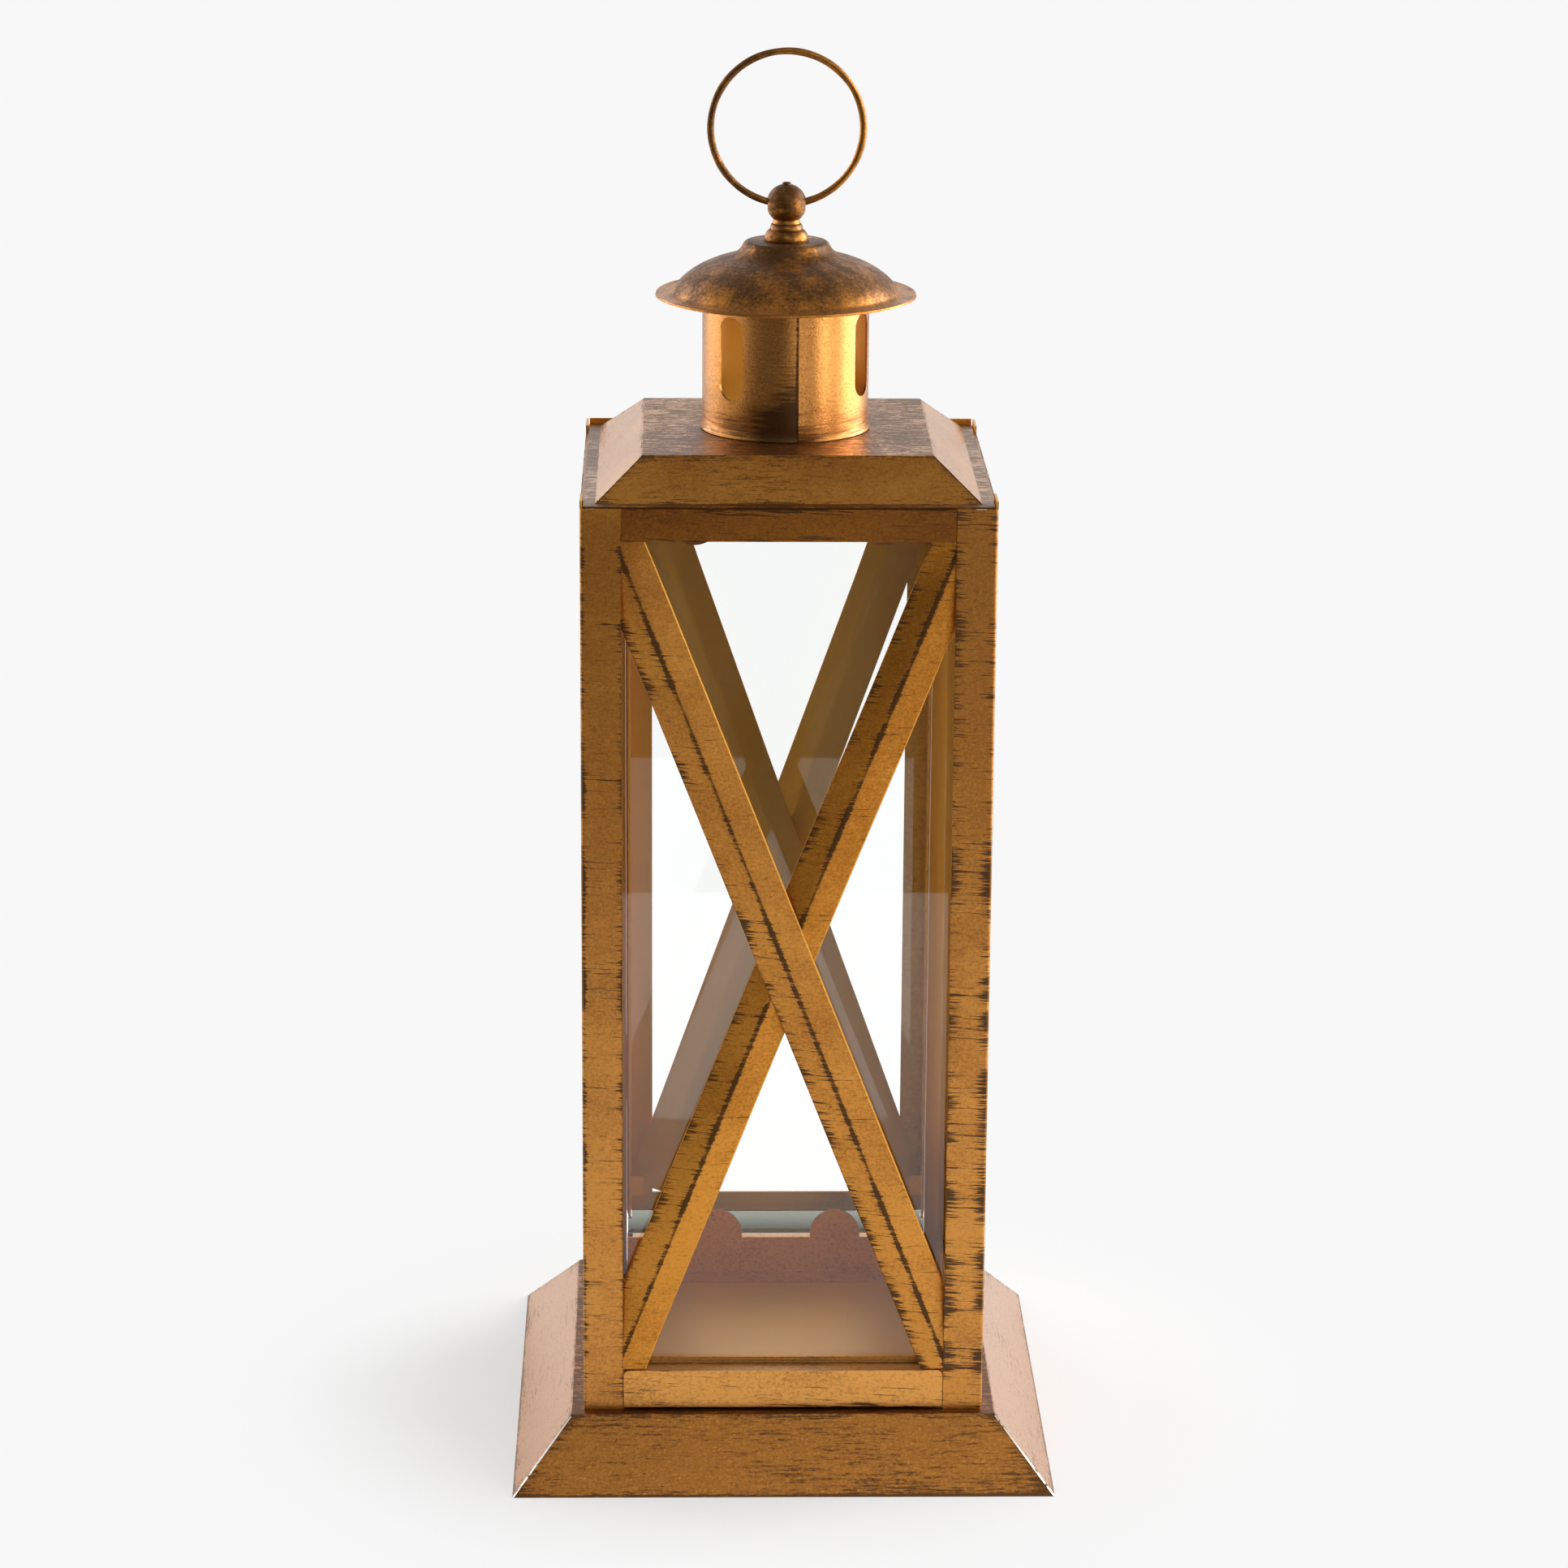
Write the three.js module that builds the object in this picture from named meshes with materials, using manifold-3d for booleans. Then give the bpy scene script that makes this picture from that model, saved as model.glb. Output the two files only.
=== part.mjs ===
// A tall square lantern of folded sheet metal with crossed arms and glass panes.
//
// It stands on a flared plinth and has four corner posts, a hipped roof, a vented
// chimney under a spun cap, and a ring through the ball of its finial. Its back is a
// glazed door on two pin hinges with a turn button. Millimetres, +Z up. The origin is
// the centre of the plinth's foot, and the front faces -Y.

import * as THREE from 'three';
import { mergeVertices } from 'three/addons/utils/BufferGeometryUtils.js';
import Module from 'manifold-3d';

const wasm = await Module();
wasm.setup();

// Driving dimensions.

const SHEET = 0.8; // sheet metal of every folded piece
const GAP = 0.3; // clearance between pieces that touch or pass each other
const SEGMENTS = 42; // facets of a large round piece
const KNOB_SEGMENTS = 24; // facets of the finial and its washer
const SMALL_SEGMENTS = 20; // facets of a pin, knuckle or rivet

const BODY_WIDTH = 150; // across the outer faces of the corner posts
const POST_FLANGE = 14.8; // width of each leg of a corner post
const POST_HORN = 2.8; // how far a post's outer leg stands above the eave
const BEND_RADIUS = 1.2; // outer radius of a post's fold

const PLINTH_FOOT_WIDTH = 202.6; // across the foot of the plinth
const PLINTH_LEDGE = 4.4; // ledge of the plinth around the body
const PLINTH_HEIGHT = 24.2;
const CORNER_SEAM = 0.9; // open mitre between two folded skirts

const FLOOR_SHEET = 0.8;
const SILL_HEIGHT = 15.6; // from the plinth to the top of the sill
const SILL_LIFT = 1.0; // shadow gap under a sill's face
const SILL_END_RADIUS = 2.2; // rounded upper ends of a sill's face
const SILL_FOOT = 11; // foot of the sill's inner wall, which lies on the plinth
const HEADER_HEIGHT = 11.8;
const BODY_HEIGHT = 346.7; // from the plinth to the eave

const PANE_SETBACK = 7.4; // from the posts' outer face to the glass
const PANE_THICKNESS = 2;
const SILL_LIP = 2; // lip behind the foot of a fixed pane
const TAB_WIDTH = 20; // half-round tabs that hold a pane or stop the door
const SILL_TAB_HEIGHT = 11.7;
const SILL_TAB_SPACING = 47.4; // between the two tabs of the back sill
const HEADER_TAB_DROP = 3.3; // what a header's tab shows below the header
const HEADER_TAB_SPACING = 68;

const ARM_WIDTH = 20; // across a crossed arm
const ARM_RIDGE = 2; // height of the fold along its middle
const ARM_INSET = 2.9; // from the pane's side to an arm's middle, level with the sill
const ARM_FLAT_END = 14; // where the fold dies out before an end
const ARM_FADE = 22; // length over which it dies out
const ARM_CROSSING = 30; // half the stretch in which one arm lies behind the other
const ARM_BOW = 90; // length over which it comes forward again

const DOOR_SIDE_GAP = 1.0; // between the door and the posts
const DOOR_TOP_GAP = 1.0;
const DOOR_STILE_WIDTH = 9.4;
const DOOR_RAIL_WIDTH = 8;
const DOOR_FRAME_LIFT = 8.2; // from the sill's top to the door's metal frame
const DOOR_PANE_LIFT = 1.4; // from the sill's top to the door's glass
const DOOR_ARM_INSET = 9.2; // from the door's side to the middle of an arm's square end
const DOOR_ARM_DROP = 10.1; // from the door's bottom up to that end
const CLIP_WIDTH = 8; // clips that hold the door's glass
const CLIP_REACH = 5;
const CLIP_INSET = 14; // from the end of a stile to the middle of its clip

const HINGE_HEIGHTS = [108, 300]; // middles of the two hinges
const HINGE_LENGTH = 24;
const HINGE_LEAF_WIDTH = 8;
const HINGE_LEAF_SHEET = 0.6;
const KNUCKLE_RADIUS = 2;
const HINGE_PIN_RADIUS = 0.9;
const PIN_CLEARANCE = 0.25;
const PIN_HEAD_RADIUS = 1.6;
const PIN_HEAD_HEIGHT = 1;

const BUTTON_HEIGHT = 205; // height of the turn button's pivot
const BUTTON_REACH = 14; // from the pivot to the tip
const BUTTON_WIDTH = 7;
const BUTTON_SHEET = 1;
const BUTTON_LUG_HEIGHT = 3; // finger lug of the turn button
const RIVET_RADIUS = 1.4;
const RIVET_HEAD_RADIUS = 2.6;
const RIVET_HEAD_HEIGHT = 1.2;

const ROOF_FOOT_WIDTH = 141; // across the foot of the roof's slopes
const ROOF_TOP_WIDTH = 105.2;
const ROOF_HEIGHT = 15.1; // from the eave to the flat top
const ROOF_SEAM = 0.5;

const CHIMNEY_RADIUS = 30.8;
const CHIMNEY_LAP_AZIMUTH = 7.5; // degrees to the right of the front
const CHIMNEY_LAP_SPAN = 50; // degrees over which the overlap lies proud
const CHIMNEY_FLARE = 0.7; // rolled-out foot of the tube
const FLARE_KNEE = 1.8; // height above the roof at which most of the flare is gone
const FLARE_TOP = 4;
const CHIMNEY_TAIL = 2.4; // what hangs below the roof's top
const CHIMNEY_TAB_COUNT = 6;
const CHIMNEY_TAB_LENGTH = 5;
const CHIMNEY_TAB_WIDTH = 6;
const SLOT_WIDTH = 11.3;
const SLOT_BOTTOM = 14; // from the roof's top to the foot of a slot
const SLOT_HEIGHT = 31;
const SLOT_AZIMUTHS = [-42, 65, 191.5]; // degrees to the right of the front

const CAP_BRIM_RADIUS = 47.9;
const CAP_BRIM_LIFT = 49.2; // from the roof's top to the brim
const CAP_RISE = 20.3; // from the brim to the flat top
const CAP_TOP_RADIUS = 15.2;
const CAP_CROWN_RADIUS = 41.5; // where the crown turns out into the brim
const CAP_CURVE_STEPS = 4;

const FOOT_RADIUS = 8.15; // bell-shaped foot of the finial
const FOOT_HEIGHT = 6.2;
const NECK_RADIUS = 5.3;
const NECK_HEIGHT = 1.6;
const BALL_RADIUS = 7.4;
const BALL_SINK = 1.7; // how much of the ball the neck's top cuts off
const NUB_RADIUS = 1.7;
const NUB_HEIGHT = 0.9;
const STUD_RADIUS = 2;
const STUD_TAIL = 5.4; // stud below the top of the cap
const WASHER_RADIUS = 6;
const WASHER_THICKNESS = 1;
const NUT_ACROSS_FLATS = 7;
const NUT_HEIGHT = 2.4;

const RING_OUTER_DIAMETER = 58.7;
const RING_WIRE_DIAMETER = 2.8;
const RING_CLEARANCE = 0.4; // around the wire at the middle of the ball's hole
const RING_STEPS = 60;
const WIRE_SIDES = 8;

// Sizes that follow from them.

const HALF_BODY = BODY_WIDTH / 2;
const POST_EDGE = HALF_BODY - POST_FLANGE;
const FLOOR_TOP = PLINTH_HEIGHT + FLOOR_SHEET;
const SILL_TOP = PLINTH_HEIGHT + SILL_HEIGHT;
const EAVE = PLINTH_HEIGHT + BODY_HEIGHT;
const HEADER_BOTTOM = EAVE - HEADER_HEIGHT;
const HEADER_FLANGE = EAVE - SHEET;
const PANE_FRONT = HALF_BODY - PANE_SETBACK;
const PANE_BACK = PANE_FRONT - PANE_THICKNESS;
const PANE_HALF = PANE_BACK - GAP; // fixed panes meet in the corners
const WALL_OUTER = PANE_BACK - GAP; // lips, tabs and inner walls lie behind the glass
const WALL_INNER = WALL_OUTER - SHEET;
const FOOT_EDGE = WALL_INNER - SILL_FOOT; // the floor plate lies between the sills' feet
const OPENING_MIDDLE = (SILL_TOP + HEADER_BOTTOM) / 2;
const ARM_FRONT = HALF_BODY - SHEET - GAP; // fold of an arm, just behind the posts
const ARM_DIP = ARM_RIDGE + SHEET + GAP; // by which the under arm passes behind

const DOOR_HALF_WIDTH = POST_EDGE - DOOR_SIDE_GAP;
const DOOR_BOTTOM = SILL_TOP + DOOR_FRAME_LIFT;
const DOOR_TOP = HEADER_BOTTOM - DOOR_TOP_GAP;
const DOOR_PANE_BOTTOM = SILL_TOP + DOOR_PANE_LIFT;
const DOOR_PANE_TOP = DOOR_TOP - SHEET - GAP;
const HINGE_AXIS_X = -POST_EDGE + DOOR_SIDE_GAP / 2;
const HINGE_AXIS_Y = HALF_BODY + KNUCKLE_RADIUS + GAP;
const BUTTON_X = HALF_BODY - POST_FLANGE / 2;

const ARM_SLOPE = (2 * (PANE_HALF - ARM_INSET)) / (HEADER_BOTTOM - SILL_TOP);
const DOOR_ARM_RUN = DOOR_HALF_WIDTH - DOOR_ARM_INSET;
const DOOR_ARM_RISE = OPENING_MIDDLE - DOOR_BOTTOM - DOOR_ARM_DROP;
const DOOR_ARM_SLOPE = DOOR_ARM_RUN / DOOR_ARM_RISE;
const DOOR_ARM_END = Math.hypot(DOOR_ARM_RUN, DOOR_ARM_RISE);

const ROOF_TOP = EAVE + ROOF_HEIGHT;
const CAP_BRIM = ROOF_TOP + CAP_BRIM_LIFT;
const CAP_TOP = CAP_BRIM + CAP_RISE;
const FOOT_TOP = CAP_TOP + FOOT_HEIGHT;
const NECK_TOP = FOOT_TOP + NECK_HEIGHT;
const BALL_CENTRE = NECK_TOP + BALL_RADIUS - BALL_SINK;
const RING_RADIUS = (RING_OUTER_DIAMETER - RING_WIRE_DIAMETER) / 2;
const WIRE_RADIUS = RING_WIRE_DIAMETER / 2;

// Finishes.

function metal(colour, roughness, metalness = 0.75) {
  return new THREE.MeshStandardMaterial({ color: colour, roughness, metalness });
}

function antiqueGold() {
  return metal(0xa8743a, 0.5);
}

function darkGold() {
  return metal(0x7d5527, 0.55);
}

function brightGold() {
  return metal(0xc98f45, 0.38);
}

function plainSteel() {
  return metal(0x8d857a, 0.45);
}

function clearGlass() {
  return new THREE.MeshStandardMaterial({
    color: 0xd5e0da,
    roughness: 0.05,
    metalness: 0,
    transparent: true,
    opacity: 0.3,
  });
}

// Solids: every helper gives a closed body or a manifold made from one.

function solid(geometry) {
  const bare = geometry.index ? geometry.toNonIndexed() : geometry.clone();
  for (const name of Object.keys(bare.attributes)) {
    if (name !== 'position') {
      bare.deleteAttribute(name);
    }
  }
  const merged = mergeVertices(bare, 1e-5);
  return new wasm.Manifold(new wasm.Mesh({
    numProp: 3,
    vertProperties: new Float32Array(merged.attributes.position.array),
    triVerts: new Uint32Array(merged.index.array),
  }));
}

function geometryOf(manifold) {
  const mesh = manifold.getMesh();
  const geometry = new THREE.BufferGeometry();
  geometry.setAttribute('position', new THREE.BufferAttribute(mesh.vertProperties, 3));
  geometry.setIndex(new THREE.BufferAttribute(mesh.triVerts, 1));
  const facets = geometry.toNonIndexed();
  facets.computeVertexNormals();
  return facets;
}

function joined(...bodies) {
  return bodies.reduce((whole, body) => whole.add(body));
}

function box(low, high) {
  const size = high.map((value, axis) => value - low[axis]);
  const geometry = new THREE.BoxGeometry(...size);
  geometry.translate(...low.map((value, axis) => value + size[axis] / 2));
  return solid(geometry);
}

// A block whose corners are placed by a function of three signs.
function block(corner) {
  const geometry = new THREE.BoxGeometry(2, 2, 2);
  const position = geometry.attributes.position;
  for (let i = 0; i < position.count; i += 1) {
    position.setXYZ(i, ...corner(position.getX(i), position.getY(i), position.getZ(i)));
  }
  return solid(geometry);
}

// An outline in XY, raised along Z.
function raised(outline, depth, curveSegments = 12) {
  return new THREE.ExtrudeGeometry(outline, { depth, bevelEnabled: false, curveSegments });
}

// An outline in XZ, given a thickness along Y from yLow to yHigh.
function upright(outline, yLow, yHigh, curveSegments = 12) {
  const geometry = raised(outline, yHigh - yLow, curveSegments);
  geometry.rotateX(Math.PI / 2);
  geometry.translate(0, yHigh, 0);
  return solid(geometry);
}

function polygon(points) {
  return new THREE.Shape(points.map(([x, y]) => new THREE.Vector2(x, y)));
}

// A profile of radius and height, turned about Z. The lathe turns a body inside out
// when its profile runs the other way, so this rights it.
function turnedSolid(points, segments = SEGMENTS) {
  const area = points.reduce((sum, [r, z], i) => {
    const [nextR, nextZ] = points[(i + 1) % points.length];
    return sum + r * nextZ - nextR * z;
  }, 0);
  const ordered = area > 0 ? points : [...points].reverse();
  const onAxis = ordered[0][0] === 0 && ordered[ordered.length - 1][0] === 0;
  const profile = onAxis ? ordered : [...ordered, ordered[0]];
  const outline = profile.map(([r, z]) => new THREE.Vector2(r, z));
  return solid(new THREE.LatheGeometry(outline, segments).rotateX(Math.PI / 2));
}

function rod(radius, zLow, zHigh, segments = SMALL_SEGMENTS) {
  return turnedSolid([[0, zLow], [radius, zLow], [radius, zHigh], [0, zHigh]], segments);
}

function tube(inner, outer, zLow, zHigh, segments = SMALL_SEGMENTS) {
  return turnedSolid([[inner, zLow], [outer, zLow], [outer, zHigh], [inner, zHigh]], segments);
}

// Points of a sheet's outer face, with the same face set back by the sheet.
function sheetProfile(face, sheet) {
  const back = face.map(([r, z], i) => {
    const [r0, z0] = face[Math.max(i - 1, 0)];
    const [r1, z1] = face[Math.min(i + 1, face.length - 1)];
    const length = Math.hypot(r1 - r0, z1 - z0);
    return [r + (sheet * (z1 - z0)) / length, z - (sheet * (r1 - r0)) / length];
  });
  return [...face, ...back.reverse()];
}

// A run of equal-sized sections, closed at both ends.
function loft(sections) {
  const count = sections[0].length;
  const vertices = sections.flat().flat();
  const index = [];
  for (let s = 0; s + 1 < sections.length; s += 1) {
    for (let i = 0; i < count; i += 1) {
      const a = s * count + i;
      const b = s * count + ((i + 1) % count);
      index.push(a, b, a + count, b, b + count, a + count);
    }
  }
  const end = (sections.length - 1) * count;
  const cap = THREE.ShapeUtils.triangulateShape(flatOutline(sections[0]), []);
  for (const [a, b, c] of cap) {
    index.push(c, b, a, end + a, end + b, end + c);
  }
  const geometry = new THREE.BufferGeometry();
  geometry.setAttribute('position', new THREE.Float32BufferAttribute(vertices, 3));
  geometry.setIndex(index);
  return solid(geometry);
}

// The sections of a loft here run along Z, so their outline lies in XY.
function flatOutline(section) {
  return section.map(([x, y]) => new THREE.Vector2(x, y));
}

const group = new THREE.Group();

function place(name, manifold, material, parent = group) {
  const mesh = new THREE.Mesh(geometryOf(manifold), material);
  mesh.name = name;
  parent.add(mesh);
  return mesh;
}

// The four sides of the body, each turned from the front.
function side(quarterTurns) {
  const turnedGroup = new THREE.Group();
  turnedGroup.rotation.z = (quarterTurns * Math.PI) / 2;
  group.add(turnedGroup);
  return turnedGroup;
}

const SIDES = [
  { name: 'front', frame: side(0) },
  { name: 'right', frame: side(1) },
  { name: 'left', frame: side(3) },
];

// A hood folded from one sheet: a flat top and four skirts with open mitres.
function skirt({ footHalf, topHalf, foot, top, seam }) {
  const slope = Math.atan2(footHalf - topHalf, top - foot);
  const wall = SHEET / Math.cos(slope);
  return block((u, v, w) => {
    const half = (w > 0 ? topHalf : footHalf) - (v > 0 ? wall : 0);
    return [u * (half - seam / 2), -half, w > 0 ? top : foot];
  });
}

function foldedHood({ footHalf, topHalf, foot, top, seam, brimHalf = 0 }) {
  const plate = box([-topHalf, -topHalf, top - SHEET], [topHalf, topHalf, top]);
  let whole = plate;
  for (let turn = 0; turn < 4; turn += 1) {
    let panel = skirt({ footHalf, topHalf, foot, top, seam });
    if (brimHalf > 0) {
      const brim = block((u, v, w) => {
        const half = v > 0 ? footHalf - SHEET * 2 : brimHalf;
        return [u * (half - seam / 2), -half, w > 0 ? foot + SHEET : foot];
      });
      panel = panel.add(brim);
    }
    whole = whole.add(panel.rotate([0, 0, turn * 90]));
  }
  return whole;
}

function buildPlinth() {
  const plinth = foldedHood({
    footHalf: PLINTH_FOOT_WIDTH / 2,
    topHalf: HALF_BODY + PLINTH_LEDGE,
    foot: 0,
    top: PLINTH_HEIGHT,
    seam: CORNER_SEAM,
  });
  place('base_plinth', plinth, antiqueGold());
  const floorHalf = FOOT_EDGE - GAP;
  const floor = box([-floorHalf, -floorHalf, PLINTH_HEIGHT], [floorHalf, floorHalf, FLOOR_TOP]);
  place('floor_plate', floor, darkGold());
}

// A post is an angle with a rounded outer fold. Its outer leg rises past the eave.
function angleOutline() {
  const outline = new THREE.Shape();
  const outer = -HALF_BODY;
  const inner = outer + SHEET;
  outline.moveTo(outer + BEND_RADIUS, outer);
  outline.lineTo(-POST_EDGE, outer);
  outline.lineTo(-POST_EDGE, inner);
  outline.lineTo(inner, inner);
  outline.lineTo(inner, -POST_EDGE);
  outline.lineTo(outer, -POST_EDGE);
  outline.lineTo(outer, outer + BEND_RADIUS);
  outline.absarc(outer + BEND_RADIUS, outer + BEND_RADIUS, BEND_RADIUS, Math.PI, Math.PI * 1.5);
  return outline;
}

function buildPosts() {
  const height = EAVE - PLINTH_HEIGHT;
  const angle = solid(raised(angleOutline(), height, 4)).translate([0, 0, PLINTH_HEIGHT]);
  const horn = box(
    [-HALF_BODY, -HALF_BODY + BEND_RADIUS, EAVE - SHEET],
    [-HALF_BODY + SHEET, -POST_EDGE, EAVE + POST_HORN],
  );
  const rearHorn = horn.mirror([1, -1, 0]);
  const frontLeft = angle.add(horn);
  const frontRight = frontLeft.mirror([1, 0, 0]);
  const both = frontLeft.add(rearHorn);
  const rearLeft = both.mirror([0, 1, 0]);
  const rearRight = rearLeft.mirror([1, 0, 0]);
  place('front_left_post', frontLeft, antiqueGold());
  place('front_right_post', frontRight, antiqueGold());
  place('rear_left_post', rearLeft, antiqueGold());
  place('rear_right_post', rearRight, antiqueGold());
}

// Half-round tabs. They point up from a sill and down from a header.
function tab(middle, root, tip) {
  const radius = TAB_WIDTH / 2;
  const up = tip > root ? 1 : -1;
  const centre = tip - up * radius;
  const outline = new THREE.Shape();
  outline.moveTo(middle - radius, root);
  outline.lineTo(middle + radius, root);
  outline.lineTo(middle + radius, centre);
  outline.absarc(middle, centre, radius, 0, up * Math.PI, up < 0);
  return upright(outline, -WALL_OUTER, -WALL_INNER, 20);
}

function tabs(spacing, root, tip) {
  return tab(-spacing / 2, root, tip).add(tab(spacing / 2, root, tip));
}

function sillFace(halfLength) {
  const radius = SILL_END_RADIUS;
  const bottom = PLINTH_HEIGHT + SILL_LIFT;
  const outline = new THREE.Shape();
  outline.moveTo(-halfLength, bottom);
  outline.lineTo(halfLength, bottom);
  outline.absarc(halfLength - radius, SILL_TOP - radius, radius, 0, Math.PI / 2);
  outline.absarc(-halfLength + radius, SILL_TOP - radius, radius, Math.PI / 2, Math.PI);
  return upright(outline, -HALF_BODY, -HALF_BODY + SHEET, 6);
}

// A sill is folded from one strip: face, shelf, inner wall and a foot on the plinth.
function sill(lip) {
  const halfLength = POST_EDGE - GAP;
  const shelfHalf = halfLength - SILL_END_RADIUS;
  const shelf = box(
    [-shelfHalf, -HALF_BODY + SHEET / 2, SILL_TOP - SHEET],
    [shelfHalf, -WALL_INNER, SILL_TOP],
  );
  const wall = box(
    [-halfLength, -WALL_OUTER, PLINTH_HEIGHT],
    [halfLength, -WALL_INNER, SILL_TOP + lip],
  );
  const foot = block((u, v, w) => [
    u * (v > 0 ? FOOT_EDGE - GAP : halfLength),
    v > 0 ? -FOOT_EDGE : -WALL_OUTER,
    w > 0 ? PLINTH_HEIGHT + SHEET : PLINTH_HEIGHT,
  ]);
  return joined(sillFace(halfLength), shelf, wall, foot);
}

function header(tabSpacing) {
  const halfLength = POST_EDGE - GAP;
  const face = box(
    [-halfLength, -HALF_BODY, HEADER_BOTTOM],
    [halfLength, -HALF_BODY + SHEET, EAVE],
  );
  const flange = box(
    [-halfLength, -HALF_BODY + SHEET / 2, HEADER_FLANGE],
    [halfLength, -WALL_INNER, EAVE],
  );
  const tip = HEADER_BOTTOM - HEADER_TAB_DROP;
  return joined(face, flange, tabs(tabSpacing, HEADER_FLANGE + SHEET / 2, tip));
}

// A crossed arm is a strip folded along its middle. The fold is pressed flat at the
// ends, which lie against the frame, and the under arm bows back behind the other.
function foldedStrip(halfLength, dip) {
  const { smoothstep } = THREE.MathUtils;
  const fadeEnd = ARM_FLAT_END + ARM_FADE;
  const stations = [0, ARM_FLAT_END, (ARM_FLAT_END + fadeEnd) / 2, fadeEnd];
  const bows = [1, 0.75, 0.5, 0.25, 0].map((share) => ARM_CROSSING + ARM_BOW * share);
  const down = [...stations.map((fromEnd) => halfLength - fromEnd), ...bows];
  const half = ARM_WIDTH / 2;
  return loft([...down.map((z) => -z), ...down.reverse()].map((z) => {
    const rise = ARM_RIDGE * smoothstep(halfLength - Math.abs(z), ARM_FLAT_END, fadeEnd);
    const back = dip * (1 - smoothstep(Math.abs(z), ARM_CROSSING, ARM_CROSSING + ARM_BOW));
    return [
      [-half, back + rise, z],
      [0, back, z],
      [half, back + rise, z],
      [half, back + rise + SHEET, z],
      [0, back + SHEET, z],
      [-half, back + rise + SHEET, z],
    ];
  }));
}

function leaningArm(halfLength, slope, dip, direction) {
  const lean = THREE.MathUtils.radToDeg(Math.atan(slope)) * direction;
  return foldedStrip(halfLength, dip)
    .rotate([0, lean, 0])
    .translate([0, -ARM_FRONT, OPENING_MIDDLE]);
}

function placeArms(name, frame, halfLength, slope, window) {
  const over = leaningArm(halfLength, slope, 0, -1).intersect(window);
  const under = leaningArm(halfLength, slope, ARM_DIP, 1).intersect(window);
  place(`${name}_arm_over`, over, antiqueGold(), frame);
  place(`${name}_arm_under`, under, antiqueGold(), frame);
}

function buildFixedArms(frame, name) {
  const halfLength = (EAVE - SILL_TOP) / 2 + ARM_WIDTH;
  const window = box(
    [-PANE_HALF, -BODY_WIDTH, SILL_TOP + GAP],
    [PANE_HALF, 0, HEADER_FLANGE - GAP],
  );
  placeArms(name, frame, halfLength, ARM_SLOPE, window);
}

function buildSides() {
  const pane = box(
    [-PANE_HALF, -PANE_FRONT, SILL_TOP + GAP],
    [PANE_HALF, -PANE_BACK, HEADER_FLANGE - GAP],
  );
  for (const { name, frame } of SIDES) {
    place(`${name}_sill`, sill(SILL_LIP), antiqueGold(), frame);
    place(`${name}_header`, header(HEADER_TAB_SPACING), antiqueGold(), frame);
    place(`${name}_pane`, pane, clearGlass(), frame);
    buildFixedArms(frame, name);
  }
}

const back = side(2);

function buildBackFrame() {
  const stops = tabs(SILL_TAB_SPACING, SILL_TOP - SHEET / 2, SILL_TOP + SILL_TAB_HEIGHT);
  place('rear_sill', sill(0).add(stops), antiqueGold(), back);
  place('rear_header', header(SILL_TAB_SPACING), antiqueGold(), back);
}

// The door is drawn as a front, in the group that is turned to the back.
function buildDoor() {
  const outer = -HALF_BODY;
  const inner = outer + SHEET;
  const half = DOOR_HALF_WIDTH;
  const stileEdge = half - DOOR_STILE_WIDTH;
  const stile = doorStile();
  place('door_hinge_stile', stile.mirror([1, 0, 0]), antiqueGold(), back);
  place('door_latch_stile', stile, antiqueGold(), back);
  const railHalf = stileEdge - GAP;
  const bottomRail = joined(
    box([-railHalf, outer, DOOR_BOTTOM], [railHalf, inner, DOOR_BOTTOM + DOOR_RAIL_WIDTH]),
    box([-railHalf, outer, DOOR_BOTTOM], [railHalf, inner + SHEET, DOOR_BOTTOM + SHEET]),
  );
  place('door_bottom_rail', bottomRail, antiqueGold(), back);
  const topHalf = half - SHEET - GAP;
  const topRail = joined(
    box([-railHalf, outer, DOOR_TOP - DOOR_STILE_WIDTH], [railHalf, inner, DOOR_TOP]),
    box([-railHalf, outer, DOOR_TOP - SHEET], [railHalf, -WALL_OUTER, DOOR_TOP]),
  );
  place('door_top_rail', topRail, antiqueGold(), back);
  const pane = box(
    [-topHalf, -PANE_FRONT, DOOR_PANE_BOTTOM],
    [topHalf, -PANE_BACK, DOOR_PANE_TOP],
  );
  place('door_pane', pane, clearGlass(), back);
  buildDoorArms(topHalf);
}

function buildDoorArms(halfWidth) {
  const window = box(
    [-halfWidth, -BODY_WIDTH, DOOR_BOTTOM + SHEET + GAP],
    [halfWidth, 0, DOOR_PANE_TOP],
  );
  placeArms('door', back, DOOR_ARM_END, DOOR_ARM_SLOPE, window);
}

// Small clips are folded in from the stile's return to keep the door's glass in.
function doorStile() {
  const outer = -HALF_BODY;
  const half = DOOR_HALF_WIDTH;
  const stile = joined(
    box([-half, outer, DOOR_BOTTOM], [DOOR_STILE_WIDTH - half, outer + SHEET, DOOR_TOP]),
    box([-half, outer, DOOR_BOTTOM], [SHEET - half, -WALL_INNER, DOOR_TOP]),
  );
  const heights = [DOOR_BOTTOM + CLIP_INSET, DOOR_TOP - CLIP_INSET];
  const clips = heights.map((z) => box(
    [-half, -WALL_OUTER, z - CLIP_WIDTH / 2],
    [SHEET + CLIP_REACH - half, -WALL_INNER, z + CLIP_WIDTH / 2],
  ));
  return joined(stile, ...clips);
}

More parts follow.
